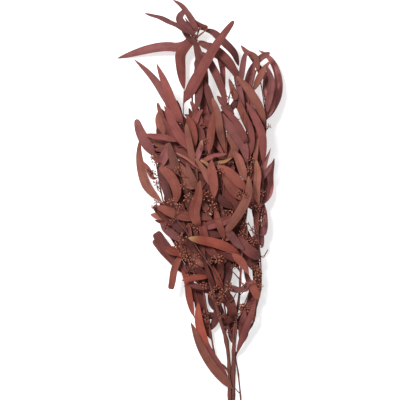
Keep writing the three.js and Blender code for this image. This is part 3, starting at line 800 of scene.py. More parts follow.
def heights_along(plan, half_width, rolls, foot, wish):
    """Heights that lead from the foot along the plan, close to the wish, through what is free in the pile."""
    levels = np.arange(LOWEST_LEVEL, CEILING, LEVEL_STEP)
    last = len(plan) - 1
    cost = np.zeros((last + 1, len(levels)))
    for index, centre in enumerate(plan):
        along = (plan[min(index + 1, last)] - plan[max(index - 1, 0)]).to_2d().normalized()
        left = Vector((-along.y, along.x))
        top = 0.0
        for across in (-half_width, 0.0, half_width):
            place = centre.to_2d() + left * across * math.cos(rolls[index])
            lift = across * math.sin(rolls[index])
            for low, high in pile.spans(*place):
                top = max(top, high - lift)
                blocked = (levels + lift > low - AIR) & (levels + lift < high + AIR)
                if index > 1:
                    cost[index, blocked] += BLOCKED_COST
        if wish is None:
            cost[index] += TOP_COST * ((levels - max(top + 2 * AIR, foot + ON_TOP)) / MM) ** 2
        else:
            cost[index] += WISH_COST * ((levels - max(wish, LEAST_WISH)) / MM) ** 2
    total = np.full_like(cost, NEVER)
    came = np.zeros(cost.shape, int)
    total[0, int(np.argmin(np.abs(levels - foot)))] = 0.0
    for index in range(1, last + 1):
        for shift in range(-STEEPEST, STEEPEST + 1):
            rolled = np.roll(total[index - 1], shift) + CLIMB_COST * shift ** 2
            if shift > 0:
                rolled[:shift] = NEVER
            elif shift < 0:
                rolled[shift:] = NEVER
            better = rolled < total[index]
            total[index, better] = rolled[better]
            came[index, better] = shift
        total[index] += cost[index]
    level = int(np.argmin(total[last]))
    heights = [0.0] * (last + 1)
    for index in range(last, -1, -1):
        heights[index] = float(levels[level])
        level -= came[index, level]
    for _ in range(SMOOTHINGS):
        heights[1:-1] = [(a + 2 * b + c) / 4 for a, b, c in zip(heights, heights[1:], heights[2:])]
    return heights


# ---- Main leaves ---------------------------------------------------------------------------------------

# The leaf nodes: name after leaf_, colour, shade, share of olive at the tip. Colour and shade are partly the
# leaf's own tone and partly painted light and shade.
MAIN_LEAVES = """
crown_left_1 rose 0.85 0
crown_left_2 wine 1 0
crown_left_3 rose 0.6 0
crown_left_4 rose 0.75 0
crown_left_5 rose 0.65 0
crown_left_6 wine 0.75 0
crown_left_7 wine 0.7 0
crown_left_8 wine 0.65 0
crown_left_9 rose 0.95 0
crown_left_10 wine 1.3 0
crown_left_11 wine 0.95 0
crown_right_1 rose 1.15 0
crown_right_2 dusty 0.85 0
crown_right_3 rose 0.8 0
crown_right_4 dusty 0.95 0
right_1 rose 1.5 0
right_2 wine 1.1 0
right_3 dusty 1.35 0.32
left_1 dusty 0.9 0
left_2 dusty 1.1 0
left_3 rose 0.95 0
left_4 red 0.8 0
upper_1 wine 1.25 0
upper_2 orange 0.8 0
upper_3 rose 0.8 0
upper_4 wine 0.85 0
upper_5 dusty 0.8 0.32
middle_1 red 0.95 0
middle_2 red 0.85 0
middle_3 dusty 0.8 0.2
middle_4 red 0.8 0.32
middle_5 wine 0.75 0
middle_6 ruddy 0.9 1
lower_left_1 wine 0.8 0
lower_left_2 orange 0.75 0
lower_left_3 ruddy 1.2 0
lower_left_4 dusty 0.85 0
lower_right_1 red 1.05 0
lower_right_2 wine 0.9 0
lower_right_3 dark 0.9 0
back_1 dark 0.9 0
back_2 dark 0.8 0
back_3 wine 1.3 0
back_4 wine 0.4 0
"""
WIDER = 1.12  # a leaf's width against its node's
WIDER_LEAVES = {
    "leaf_crown_left_2": 1.15, "leaf_crown_left_4": 0.66, "leaf_crown_left_5": 1.0,
    "leaf_crown_left_6": 1.25, "leaf_crown_left_7": 1.2, "leaf_crown_left_8": 1.25,
    "leaf_crown_left_11": 1.3, "leaf_crown_right_1": 1.25, "leaf_crown_right_4": 1.0,
}
FLATTER = 0.6  # a leaf's roll against its node's
EDGEWISE = {"leaf_crown_left_5": 0.75}  # the same for a leaf seen on its edge
# how far the foot of a leaf gives way to one that crosses it
FOOT_SHIFTS = {"leaf_crown_left_1": (-3, 25, -16), "leaf_crown_left_2": (-4.5, 12, 5)}
GIVES_WAY = 0.42  # share of such a leaf that bends up or down
GIVES_WAY_ASIDE = 0.7 * GIVES_WAY
LOWEST = 1.2 * MM  # middle of a blade that touches the table
# leaves whose outline is known, small ones by their name in the table; the others get one of the usual ones
OUTLINE_OF = {
    "leaf_crown_left_1": "full", "leaf_crown_left_2": "full", "leaf_crown_left_5": "even",
    "leaf_crown_left_6": "strap", "leaf_crown_left_7": "even", "leaf_crown_left_8": "even",
    "leaf_crown_left_9": "pointed", "leaf_crown_left_10": "pointed", "leaf_crown_left_11": "lance",
    "leaf_crown_right_1": "full", "leaf_crown_right_4": "even", "leaf_crown_left_4": "full",
    "leaf_left_1": "pointed", "leaf_left_4": "even", "leaf_left_3": "strap", "leaf_lower_left_3": "full",
    "leaf_lower_left_4": "full", "leaf_lower_left_2": "blunt", "leaf_middle_4": "pointed",
    "leaf_middle_6": "even", "leaf_right_1": "pointed", "leaf_upper_4": "strap", "crown_2": "strap",
    "crown_14": "lance", "lower_1": "blunt", "lower_28": "blunt", "lower_2": "strap", "middle_1": "even",
    "right_1": "pointed", "upper_10": "strap",
}
USUAL_OUTLINES = ("even", "even", "pointed")

chance = random.Random(11)


def pick_blank(blanks, name):
    outline = OUTLINE_OF.get(name.replace("leaf_small_", "")) or chance.choice(USUAL_OUTLINES)
    return chance.choice(blanks[outline])


def dress_leaf(leaf, colour, shade, olive):
    """Gives a bent leaf its two finishes, its shade, which is partly its own tone and partly painted light
    and shade, and the share of olive at its tip.
    """
    for index, material in enumerate(LEAF_FINISHES[colour]):
        leaf.data.materials[index] = material
    set_attribute(leaf, "shade", shade)
    set_attribute(leaf, "olive", olive)


def rooted(points):
    """The points, with the first one moved into the stem that the stalk grows on."""
    _, centre, radius = nearest_stem(points[0])
    return [centre.lerp(points[0], 0.5 * radius / max((points[0] - centre).length, radius)), *points[1:]]


def given_way(points, shift):
    """The points of a leaf whose foot gives way by the shift."""
    moved = []
    for index, point in enumerate(points):
        share = index / (len(points) - 1)
        aside = max(0, 1 - share / GIVES_WAY_ASIDE) ** 2
        level = max(0, 1 - share / GIVES_WAY)
        moved.append(point + Vector((shift[0] * aside, shift[1] * aside, shift[2] * level)) * MM)
    return moved


def make_main_leaves(blanks):
    looks = {f"leaf_{name}": look for name, *look in rows_of(MAIN_LEAVES)}
    for node in sorted(looks):
        colour, shade, olive = looks[node]
        points, widths, rolls = line_of(node)
        tilts = [EDGEWISE.get(node, FLATTER) * roll + QUARTER_TURN for roll in rolls]
        size = [WIDER_LEAVES.get(node, WIDER) * max(widths) / BLANK_WIDTH] * len(points)
        if node in FOOT_SHIFTS:
            points = given_way(points, FOOT_SHIFTS[node])
        points = [Vector((point.x, point.y, max(point.z, LOWEST))) for point in rooted(points)]
        leaf = bend(pick_blank(blanks, node), node.replace("leaf", "blade"), points, size, tilts)
        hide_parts(node)
        dress_leaf(leaf, colour, float(shade), float(olive))
        lay(leaf)


# ---- Small leaves --------------------------------------------------------------------------------------

# The leaves between the main ones: name, width, level, colour, shade, olive, and the route from the stalk to
# the tip seen from above. level is the height that the blade wants over its foot, or - to lie on top. Colour
# and shade are partly the leaf's own tone and partly painted light and shade.
SMALL_LEAVES = """
crown_10 12 -5 wine 1 0 1,254 20,243 40,225 55,206 65,183
crown_12 10.5 -4 red 0.8 0 -2,240 7,216 8,186 5,156
right_crown_13 13.5 -3 rose 1.5 0 98,135 106,159 112,180 116,198
right_crown_15 9 -3 rose 1.25 0 67,165 73,189 79,212 82,228
lower_26 10.5 -4 wine 1 0 52,-177 68,-159 80,-140 88,-120
crown_5 6 -8 dark 1 0 -28,135 -29,150 -34,168
crown_4 9 -8 rose 1.35 0 22,252 29,234 35,213 38,180
crown_9 8.2 -4 wine 0.5 0 -11,255 -20,267 -28,279
right_crown_2 10.5 -4 rose 0.5 0 106,171 103,195 91,216 74,234
right_crown_4 9.8 -6 rose 0.8 0 70,171 73,198 80,224
right_crown_9 7.5 -4 rose 1.35 0 100,135 102,162 99,183 97,204
right_crown_10 9 -4 dark 1 0 94,141 85,165 76,192
right_crown_11 12 -2 rose 0.8 0 83,135 76,159 68,182
right_crown_12 4.5 -2 wine 1 0 106,159 115,189 110,225
upper_2 12 0 wine 0.6 0 25,141 17,166 9,195
upper_15 9 -8 dusty 1 0 -53,110 -61,128 -63,150
upper_17 12 -4 dark 1 0 11,90 7,117 2,147
upper_18 13.5 -6 wine 0.9 0 16,132 7,154 -1,178
upper_19 10.5 -6 dark 0.9 0 -32,98 -49,122 -59,142
upper_20 9 -2 wine 0.4 0 43,148 52,162 59,174
upper_21 12 -8 dark 1 0 -2,60 -14,81 -26,108
upper_22 12 -8 red 0.6 0 50,63 40,84 34,111
middle_16 9 -8 rose 0.8 0 97,-33 98,-6 94,18
middle_17 12 -8 dusty 0.45 0 -11,12 -20,36 -28,63
middle_19 12 -8 dusty 1.5 0 70,-36 64,-15 61,9
middle_15 12 -4 rose 0.65 0 94,-51 88,-22 85,6
middle_20 15 -10 dark 0.5 0 40,-9 31,9 22,27
middle_21 13.5 -10 dark 1 0 55,-15 46,6 34,27
middle_22 12 -6 wine 0.4 0 -26,-30 -38,-15 -50,0
middle_23 13.5 -8 orange 1.1 0 19,-30 10,-3 4,21
lower_10 12 -2 dark 1.25 0 19,-195 11,-170 5,-136
lower_15 15 -6 dark 1.25 0 10,-171 1,-142 -4,-112
lower_16 12 -4 wine 0.6 0 29,-138 25,-159 17,-178
lower_17 9 -2 wine 0.8 0 50,-200 47,-178 43,-154
lower_18 18 -8 wine 0.4 0 37,-123 40,-98 44,-70
lower_19 12 -6 dark 0.8 0 26,-114 31,-92 34,-69
lower_20 13.5 -8 dusty 0.85 0 4,-81 -13,-60 -26,-39
lower_21 12 -8 dark 1 0 1,-99 -16,-76 -29,-57
lower_22 12 -6 dark 0.4 0 19,-81 5,-60 -8,-42
lower_23 12 -4 wine 0.85 0 14,-98 -1,-88 -16,-80
lower_24 13.5 -8 wine 0.4 0 25,-150 19,-129 13,-105
lower_4 9 0 ruddy 1.25 0 -11,-112 -22,-93 -29,-72
lower_6 9 4 wine 0.7 0 14,-114 -1,-112 -17,-108
lower_13 13.5 2 wine 0.9 0 70,-148 77,-140 86,-129
crown_3 12 4 wine 0.6 0 -11,266 -4,248 0,228 1,204 -2,162
crown_6 9 2 dark 1 0 -5,258 10,250 20,240 32,228
crown_2 12.8 10 rose 0.6 0 -10,267 -20,276 -29,290 -22,303
crown_7 5.2 2 dusty 0.7 0 56,170 52,182 44,200
right_crown_1 9 6 rose 0.7 0 59,194 65,218 70,243
right_crown_5 9.8 12 rose 0.7 0 86,224 95,234 106,239
right_crown_6 11.2 8 red 0.75 0 74,117 65,146 53,176 44,200
right_crown_7 9 12 rose 0.85 0 67,156 61,176 55,201
right_crown_8 12 9 wine 1 0 68,75 76,99 77,122 71,146
right_crown_3 10.5 - dusty 1 0 79,180 91,204 107,228
upper_10 8.2 6 dusty 0.85 0 -55,111 -56,138 -63,164
upper_23 7.5 4 dusty 1 0.24 -40,92 -58,99 -74,108
upper_13 13.5 8 dusty 0.5 0.18 -29,54 -40,81 -46,106
upper_24 9 6 wine 1 0.18 2,134 -4,150 -14,166
upper_1 12 12 red 0.8 0 11,82 17,117 22,152
upper_8 12 12 wine 1.3 0 -11,128 -5,142 5,154
upper_25 10.5 8 wine 0.7 0 10,88 4,110 -2,132
upper_16 7.5 6 dusty 1.2 0 41,87 37,108 34,135
upper_6 12 12 dusty 0.9 0.18 41,78 53,96 41,118
right_4 7.5 8 dusty 0.95 0 85,69 85,98 88,128
upper_11 9 12 wine 1.05 0 -29,105 -55,112 -82,116
right_1 6.8 6 rose 0.95 0 89,42 98,69 107,96
right_2 7.5 6 rose 0.65 0 86,39 98,57 110,75
left_1 7.5 6 red 1 0 -70,51 -79,68 -89,78
left_2 12 6 rose 0.45 0 -44,9 -53,44 -61,74
middle_24 10.5 6 dusty 0.9 0 -14,39 -23,57 -32,76
middle_25 12 8 dusty 0.7 0 -2,30 -13,54 -20,75
middle_26 10.5 6 dusty 0.6 0 20,-2 10,6 -1,16
middle_3 13.5 6 dark 0.95 0 62,-6 44,24 26,52
middle_4 12 8 wine 0.4 0 52,2 35,16 22,32
middle_2 15 10 red 0.75 0 62,22 47,39 35,64
middle_8 12 6 red 0.6 0 -7,-3 7,-8 19,-10
middle_10 10.5 4 dark 0.7 0 7,-28 20,-33 35,-36
middle_11 12 6 rose 0.7 0 -26,-45 -43,-32 -59,-16
middle_18 12 6 orange 0.8 0 44,-39 40,-16 35,3
middle_12 12 8 rose 0.55 0 44,-33 55,-44 67,-56
middle_14 12 8 dark 0.95 0 8,-51 19,-60 31,-70
middle_27 12 6 dark 0.8 0 23,-52 40,-63 56,-75
lower_28 16.5 -2 wine 0.7 0 -22,-88 -44,-62.5 -66,-31
lower_1 16 -6 wine 0.85 0 -20,-90 -42,-69 -67.5,-40.5
lower_2 11 - orange 0.8 0 -19,-62 -35,-60 -52,-56
lower_3 10.5 - ruddy 0.75 0 -17,-68 -34,-60 -49,-52
lower_7 7.5 10 dark 0.75 0 22,-116 15,-96 8,-75
lower_8 9.8 - ruddy 0.75 0 35,-122 28,-102 20,-80
lower_9 10.5 6 ruddy 0.85 0 -5,-162 -14,-132 -20,-105 -29,-81
lower_11 9 8 wine 1 0 43.5,-250.5 24,-222 7,-189
lower_12 10.5 10 rose 0.6 0 37,-110 56,-117 74,-118
lower_14 10.5 10 dark 0.8 0 38,-167 47,-160 58,-150
crown_11 4.4 3 wine 0.7 0 -7,272 -15.5,282 -22.5,292.5
lower_25 10.5 - wine 1.05 0 55,-216 65,-188 76,-160 85,-132
lower_27 10.5 6 rose 1.2 0 58,-117 71,-112 85,-104
upper_27 10.5 8 rose 0.55 0 49,141 40,159 26,174
left_3 6 6 red 1 0 -62,81 -71,90 -79,99
crown_14 5.4 4 dark 1 0 12.5,275.5 4.5,279.5 -3,283.5 -9.75,289.5 -15,300
crown_13 4 2 dark 1.1 0 5,274 -4,282 -14,300
upper_12 14.2 - rose 0.9 0 -58,70 -52,87 -47,104
upper_9 10.5 - dusty 0.85 0.3 -8,68 -14,96 -20,133
upper_7 13.5 - dusty 1.2 0 71,46 62,69 50,93
middle_5 10.5 - dusty 0.95 0 20,36 7,62 -7,81
upper_14 3.6 - dusty 1.2 0.5 -1,64 -19,80 -36,89
upper_3 9 - rose 1 0.9 -6,68 -1,90 4,108
middle_1 14.2 - red 0.9 0 20,81 20,51 22,22
upper_4 6.8 - wine 1.2 0.12 1,75 19,83 40,87
upper_5 4.8 - tan 1 1 23,74 35,75 48,81
upper_26 4.8 - tan 1 1 16,63 10,73 1,78
middle_7 14.2 - wine 1 0 8,-24 26,-16 49,-8
middle_6 10.5 - red 0.75 0 35,-39 29,-16 24,6
middle_9 12.8 8 dark 1.25 0 -1,-4 5,-26 14,-48
middle_13 12.8 - orange 0.9 0 47,-62 62,-74 74,-94
lower_5 9 - ruddy 0.8 0 16,-98 -5,-98 -26,-103
"""
NEAR_STEM = 3 * MM  # a route that starts further from its stem than this is led on to the stem
TWIG_FROM = 13 * MM  # a leaf that starts further from its stem than this stands on a twig
LEAN = 16  # degrees that a blade leans to one side at most
LEAF_TWIG_RADIUS, LEAF_TWIG_TAPER = 0.75, 0.15


def grow_leaf(name, route, width, level, look, blanks, twig, lean=LEAN):
    """A leaf along a route seen from above. It starts on the nearest stem, on a twig of its own if that is
    far."""
    colour, shade, olive = look
    flat = in_metres(route)
    start = flat[0]
    away, centre, radius = nearest_stem(start)
    if away > NEAR_STEM:
        flat.insert(0, centre.to_2d().to_3d())
    plan = curve_through(flat)
    leans = [math.radians(chance.uniform(-lean, lean)) for _ in (0, 1)]
    rolls = [leans[0] + (leans[1] - leans[0]) * index / (len(plan) - 1) for index in range(len(plan))]
    foot = centre.z + (radius if level is None or level > 0 else -radius)
    wish = None if level is None else foot + level * MM
    points = raised(plan, heights_along(plan, width / 2 * MM, rolls, foot, wish), centre)
    base = 0
    if away > TWIG_FROM:
        base = min(range(len(plan) - 3), key=lambda index: (plan[index] - start).length)
    tilts = [roll + QUARTER_TURN for roll in rolls[base:]]
    size = [width * MM / BLANK_WIDTH] * (len(points) - base)
    leaf = bend(pick_blank(blanks, name), name, points[base:], size, tilts)
    dress_leaf(leaf, colour, shade, olive)
    if base > 0:
        line = points[:base + 2]
        radii = [LEAF_TWIG_RADIUS - LEAF_TWIG_TAPER * index / len(line) for index in range(len(line))]
        leaf = joined([leaf, bend(twig, "stalk", line, radii)], name)
    return leaf


def make_small_leaves(blanks, twig):
    for name, width, level, colour, shade, olive, *route in rows_of(SMALL_LEAVES):
        look = (colour, float(shade), float(olive))
        full_name = f"leaf_small_{name}"
        leaf = grow_leaf(full_name, numbers_of(route), float(width), level_of(level), look, blanks, twig)
        lay(leaf)


# ---- Leaves underneath ---------------------------------------------------------------------------------

# outline of the dense part of the bunch seen from above, and the openings in it
BODY = numbers_of("""
-64,159 -47,150 -29,132 -23,150 -14,153 1,168 13,180 25,153 40,153 56,171 76,186 94,159 103,141 98,120 97,70
106,63 106,39 100,12 98,-6 94,-27 91,-51 94,-75 94,-102 91,-128 83,-144 80,-162 70,-178 62,-200 53,-212
40,-207 34,-177 26,-162 17,-180 14,-198 2,-198 -8,-174 -14,-144 -22,-117 -25,-99 -35,-81 -32,-60 -40,-46
-58,-21 -70,-4 -68,8 -55,16 -53,36 -64,51 -62,66 -71,81 -82,111 -65,117
""".split())
GAPS = [numbers_of(row) for row in rows_of("""
-17,172 -7,172 -7,153 -17,156
52,153 61,152 70,123 64,120
46,-86 65,-86 73,-108 61,-111 46,-108
46,-117 74,-116 74,-140 59,-154 52,-153
70,4 79,4 82,-14 82,-36 76,-38 71,-14
72,-78 80,-78 80,-100 74,-96
-20,-75 -14,-75 -14,-92 -20,-90
7,-123 14,-123 19,-153 11,-153
34,-140 40,-140 40,-153 34,-152
79,168 85,192 94,198 103,180 100,160
-29,159 -22,159 -23,132 -29,138
""")]
# the grid that tells where the table still shows
CELL = 1.5 * MM
GRID_X = (-130 * MM, 130 * MM)
GRID_Y = (-230 * MM, 200 * MM)
OPEN_ENOUGH = 0.002  # share of the dense part
BEHIND_SEED = 8
BEHIND_TRIES = 600  # places to cover
BEHIND_CHOICES = 14  # leaves weighed for each place
BEHIND_FROM_Y = -190 * MM  # they grow no lower on the stems
NEAREST_FOOT, FURTHEST_FOOT = 12 * MM, 75 * MM  # from the place to cover
WITH_GROWTH = 0.25  # least cosine between a leaf and its stem
BEHIND_LENGTHS = (58, 105)
BEHIND_HALF_WIDTHS = (4.2, 6.2)
BEHIND_SWING = 0.12  # of the length, to either side
BEHIND_LEVELS = (-10, -6, -2)
BEHIND_LEAN = 12
# dark tones: painted shade under the leaves above
BEHIND_COLOURS = ("dark", "dark", "wine", "wine")
BEHIND_SHADES = (0.75, 1.05)
OUTSIDE_COST = 2.5  # of a cell covered outside the dense part
WORTH_IT = 3  # cells, less such costs
GROUP_SIZE = 5


def in_outline(outline, x, y):
    inside = np.zeros(x.shape, bool)
    for (ax, ay), (bx, by) in zip(outline, outline[1:] + outline[:1]):
        if ay != by:
            inside ^= ((ay > y) != (by > y)) & (x < ax + (y - ay) / (by - ay) * (bx - ax))
    return inside


class Cover:
    """A grid over the dense part that knows where the table still shows."""

    def __init__(self):
        self.x, self.y = np.meshgrid(np.arange(*GRID_X, CELL), np.arange(*GRID_Y, CELL))
        self.wanted = in_outline(BODY, self.x / MM, self.y / MM)
        for gap in GAPS:
            self.wanted &= ~in_outline(gap, self.x / MM, self.y / MM)
        self.open = self.wanted.copy()
        for row, column in zip(*np.nonzero(self.open)):
            if pile.spans(self.x[row, column], self.y[row, column], first=True):
                self.open[row, column] = False

    def close(self, cells):
        """Closes those of the cells that the last piece laid really covers."""
        tree = pile.trees[-1][0]
        for row, column in zip(*np.nonzero(self.open & cells)):
            if tree.ray_cast(Vector((self.x[row, column], self.y[row, column], 1)), DOWN)[0] is not None:
                self.open[row, column] = False

    def under(self, plan, half_width):
        """Which cells a leaf along the plan covers."""
        covered = np.zeros(self.x.shape, bool)
        shares, widths = zip(*rows_of_outline("even"))
        for index, point in enumerate(plan):
            reach = half_width * np.interp(index / (len(plan) - 1), shares, widths)
            column = int((point.x - self.x[0, 0]) / CELL)
            row = int((point.y - self.y[0, 0]) / CELL)
            span = int(half_width / CELL) + 2
            box = (slice(max(row - span, 0), row + span), slice(max(column - span, 0), column + span))
            covered[box] |= (self.x[box] - point.x) ** 2 + (self.y[box] - point.y) ** 2 < reach ** 2
        return covered


def best_leaf_behind(cover, target, feet):
    """Of some leaves that cover the target, the one that covers most and sticks out least: its score, route,
    half width and the cells under it."""
    near = [
        (p, q) for p, q in feet if NEAREST_FOOT < (p.to_2d() - target.to_2d()).length < FURTHEST_FOOT
    ]
    best = None
    for _ in range(BEHIND_CHOICES):
        foot, after = chance.choice(near)
        foot = Vector((foot.x, foot.y, 0))
        along = (target - foot).normalized()
        growth = (after - foot).to_2d().normalized()
        if along.to_2d().dot(growth) < WITH_GROWTH:
            continue
        length = chance.uniform(*BEHIND_LENGTHS) * MM
        swing = Vector((-along.y, along.x, 0)) * chance.uniform(-BEHIND_SWING, BEHIND_SWING) * length
        route = [foot, foot + along * length * 0.5 + swing, foot + along * length]
        half_width = chance.uniform(*BEHIND_HALF_WIDTHS) * MM
        cells = cover.under(curve_through(route, FINE_STEP), half_width)
        score = (cells & cover.open).sum() - OUTSIDE_COST * (cells & ~cover.wanted).sum()
        if best is None or score > best[0]:
            best = (score, route, half_width, cells)
    return best


def make_leaves_behind(blanks, twig):
    """Leaves below the others, wherever the table would show through the dense part. Their dark tones are
    painted shade in the hollows between the leaves above.
    """
    cover = Cover()
    chance.seed(BEHIND_SEED)
    feet = [(p, q) for points, _ in stem_lines for p, q in zip(points, points[1:]) if p.y > BEHIND_FROM_Y]
    made = []
    for _ in range(BEHIND_TRIES):
        open_cells = np.argwhere(cover.open)
        if len(open_cells) < OPEN_ENOUGH * cover.wanted.sum():
            break
        row, column = open_cells[chance.randrange(len(open_cells))]
        best = best_leaf_behind(cover, Vector((cover.x[row, column], cover.y[row, column], 0)), feet)
        if best is None or best[0] < WORTH_IT:
            continue
        _, route, half_width, cells = best
        look = (chance.choice(BEHIND_COLOURS), chance.uniform(*BEHIND_SHADES), 0)
        flat = [tuple(point.to_2d() / MM) for point in route]
        level = chance.choice(BEHIND_LEVELS)
        leaf = grow_leaf("behind", flat, 2 * half_width / MM, level, look, blanks, twig, BEHIND_LEAN)
        pile.add(leaf)
        cover.close(cells)
        made.append(leaf)
    made.sort(key=lambda leaf: leaf.data.vertices[0].co.y)
    for start in range(0, len(made), GROUP_SIZE):
        group = joined(made[start:start + GROUP_SIZE], f"leaves_behind_{start // GROUP_SIZE + 1}")
        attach(group, "root")


# ---- Seed clusters -------------------------------------------------------------------------------------

CAPSULE_SIDES = 6
# height and radius of each ring, from the stalk end to the floor of the dish
CAPSULE_RINGS = (
    (0.0, 0.34), (4.3, 0.38), (4.8, 0.8), (5.5, 1.2), (6.3, 1.35), (7.1, 1.15), (7.6, 0.85), (7.9, 1.0),
    (7.9, 0.66), (7.5, 0.45),
)
STALK_UP_TO, RIM_FROM, DISH_FROM, DISH_RADIUS = 4.5 * MM, 7.0 * MM, 7.2 * MM, 0.5 * MM
RIM, DISH, STALK = 1, 2, 3  # places among the capsule's finishes, after the husk
UMBEL_SIZES = (8, 10, 12)  # capsules
CAPSULE_SCALES = (0.85, 1.1)
CAPSULE_TURN = math.radians(137.5)  # from one capsule of an umbel to the next
FIRST_DOWN, MORE_DOWN = 14, 84  # degrees that the first capsule leans, and that the last one leans more
DOWN_POWER = 0.75
# The clusters that nodes stand for: name after seeds_, three places of the stalk, then the heads seen from
# above, each with its size.
NODE_CLUSTERS = """
left_1 -62,54 -68,57 -75,62 -76,62,0.75 -70,58,0.83
right_1 88,-27 82,-39 76,-56 83,-32,0.67 81,-44,0.83 76,-52,0.67
right_2 92,-116 89,-100 85,-81 92,-112,0.67 87,-99,1 89,-90,0.83 84,-84,0.75
right_3 82,-165 74,-154 62,-142 81,-158,0.67 76,-148,0.92 66,-144,0.92 59,-153,0.67
middle_1 34,0 41,-3 50,-4 41,-2,0.83 50,-4,0.83
front_1 10,-74 20,-74 34,-68 16,-73,0.67 28,-70,1.08
front_2 2,-62 -5,-68 -16,-81 -4,-66,0.67 -8,-76,1.08 -17,-69,0.92
front_3 37,-118 31,-124 19,-130 43,-111,0.92 35,-122,0.92 20,-124,0.83 26,-114,0.67 29,-134,0.75
front_4 -15,-36 -22,-44 -29,-54 -25,-38,1 -32,-49,0.92 -26,-60,0.83
front_5 -36,-8 -38,4 -37,16 -41,15,0.92 -31,9,0.75
"""
# The others: name, level as for the leaves, three places of the stalk, heads.
SMALL_CLUSTERS = """
left_2 4 -62,28 -64,38 -64,45 -64,42,0.83 -60,35,0.58
left_3 4 -64,60 -65,72 -68,82 -66,74,0.75 -70,82,0.67
left_4 4 -59,3 -65,9 -68,14 -64,14,0.75 -69,7,0.6
left_6 8 -41,-18 -47,-21 -53,-20 -50,-20,0.67 -40,-11,0.67
middle_2 - -1,15 -7,16 -14,20 -16,21,1.08
middle_3 - -1,24 -11,30 -20,36 -23,38,0.83
middle_14 - -16,48 -23,56 -31,63 -32,64,0.67
middle_4 - 1,9 4,16 8,24 8,24,0.83
middle_15 - 4,9 10,15 16,22 16,23,1
middle_5 - 1,0 10,2 19,6 20,8,1 14,1,0.83
middle_7 6 38,51 34,58 31,68 31,62,0.75
middle_8 - -1,-30 -8,-26 -13,-21 -13,-21,0.75 -4,-27,0.67
middle_9 2 70,24 64,24 59,27 60,27,0.75 68,27,0.67
middle_16 - -2,90 5,99 10,111 3,96,0.58 10,106,0.58
lower_1 8 20,-152 14,-154 10,-152 8,-153,0.83 11,-162,0.58
lower_2 8 34,-117 40,-114 46,-111 46,-112,0.75
lower_5 4 28,-153 31,-156 32,-159 32,-156,0.67
lower_6 - 8,-117 8,-114 7,-110 7,-110,0.75
right_4 8 70,-48 70,-36 65,-27 65,-32,0.83 70,-42,0.75
right_5 8 82,-36 79,-27 73,-15 69,-17,0.8 80,-26,0.75
right_6 - 88,-3 85,4 79,12 78,11,0.83 88,8,0.67
right_7 4 91,-21 95,-12 97,0 96,-1,0.83 94,-14,0.83
right_8 6 94,14 94,21 95,30 94,29,0.75
right_9 4 97,118 101,124 104,130 104,128,0.58
right_10 - 71,39 76,54 77,75 77,78,0.75 75,63,0.75
right_12 3 62,-90 58,-86 53,-81 53,-82,0.75
right_13 3 62,-126 67,-118 71,-110 69,-110,0.67
"""
STALK_PLACES = 3
HEAD_ROOM = 3 * MM  # under the middle of a head
HEAD_HEIGHT = 8 * MM
ARCH = 0.12  # how high a side stalk arches, as a share of its length
FACING_UP = (0.5, 1.3)
STALK_RADIUS, STALK_TAPER = 0.62, 0.2
SIDE_STALK_RADII = (0.5, 0.46, 0.42)
STALK_LEVEL = 0.4  # share of a node's height at which its cluster's stalk runs
REACHES_STEM = 2 * MM  # a stalk that starts further from its stem than this is led on to the stem
# share of the darker maroon tone in the capsules of a cluster, partly their own colour and partly painted
# shade
MAROON_AND_PAINTED_SHADE_OF = {
    "pods_left_1": 0.95, "pods_small_left_2": 0.95, "pods_small_left_3": 0.7, "pods_small_left_4": 0.9,
    "pods_small_left_6": 0.6, "pods_right_1": 0.75, "pods_small_right_4": 0.65, "pods_small_right_5": 0.65,
    "pods_small_right_6": 0.65, "pods_small_right_7": 0.8, "pods_small_right_8": 0.7,
    "pods_small_lower_1": 0.7, "pods_small_middle_9": 0.6, "pods_front_4": 0.35, "pods_front_2": 0.35,
}
USUAL_MAROON_AND_PAINTED_SHADE = 0.15


def capsule_blank(materials):
    """One seed capsule that stands on its stalk end, drawn up ring by ring."""
    capsule = add_primitive(
        bpy.ops.mesh.primitive_circle_add, vertices=CAPSULE_SIDES, radius=CAPSULE_RINGS[0][1] * MM,
        fill_type="NGON",
    )
    add_materials(capsule, materials)
    edit(capsule)
    bpy.ops.mesh.select_all(action="SELECT")
    for (low, before), (high, after) in zip(CAPSULE_RINGS, CAPSULE_RINGS[1:]):
        growth = after / before
        bpy.ops.mesh.extrude_region_move(TRANSFORM_OT_translate={"value": (0, 0, (high - low) * MM)})
        bpy.ops.transform.resize(value=(growth, growth, 1), center_override=(0, 0, high * MM))
    outward_normals()
    leave_edit()
    for face in capsule.data.polygons:
        # the top faces take the rim's finish, paler in its own right and painted brighter as a highlight
        if face.center.z > RIM_FROM:
            face.material_index = RIM
        if face.center.to_2d().length < DISH_RADIUS and face.center.z > DISH_FROM:
            face.material_index = DISH
        if face.center.z < STALK_UP_TO:
            face.material_index = STALK
    smooth(capsule, 55)
    return capsule


def umbel_blank(capsule, count):
    """A head of capsules that spread from one point, most of them upwards."""
    parts = []
    for index in range(count):
        around = index * CAPSULE_TURN
        down = math.radians(FIRST_DOWN + MORE_DOWN * (index / (count - 1)) ** DOWN_POWER)
        flat = math.sin(down)
        direction = Vector((flat * math.cos(around), flat * math.sin(around), math.cos(down)))
        parts.append(place_copy(capsule, Vector((0, 0, 0)), direction, chance.uniform(*CAPSULE_SCALES)))
    return joined(parts, "umbel")


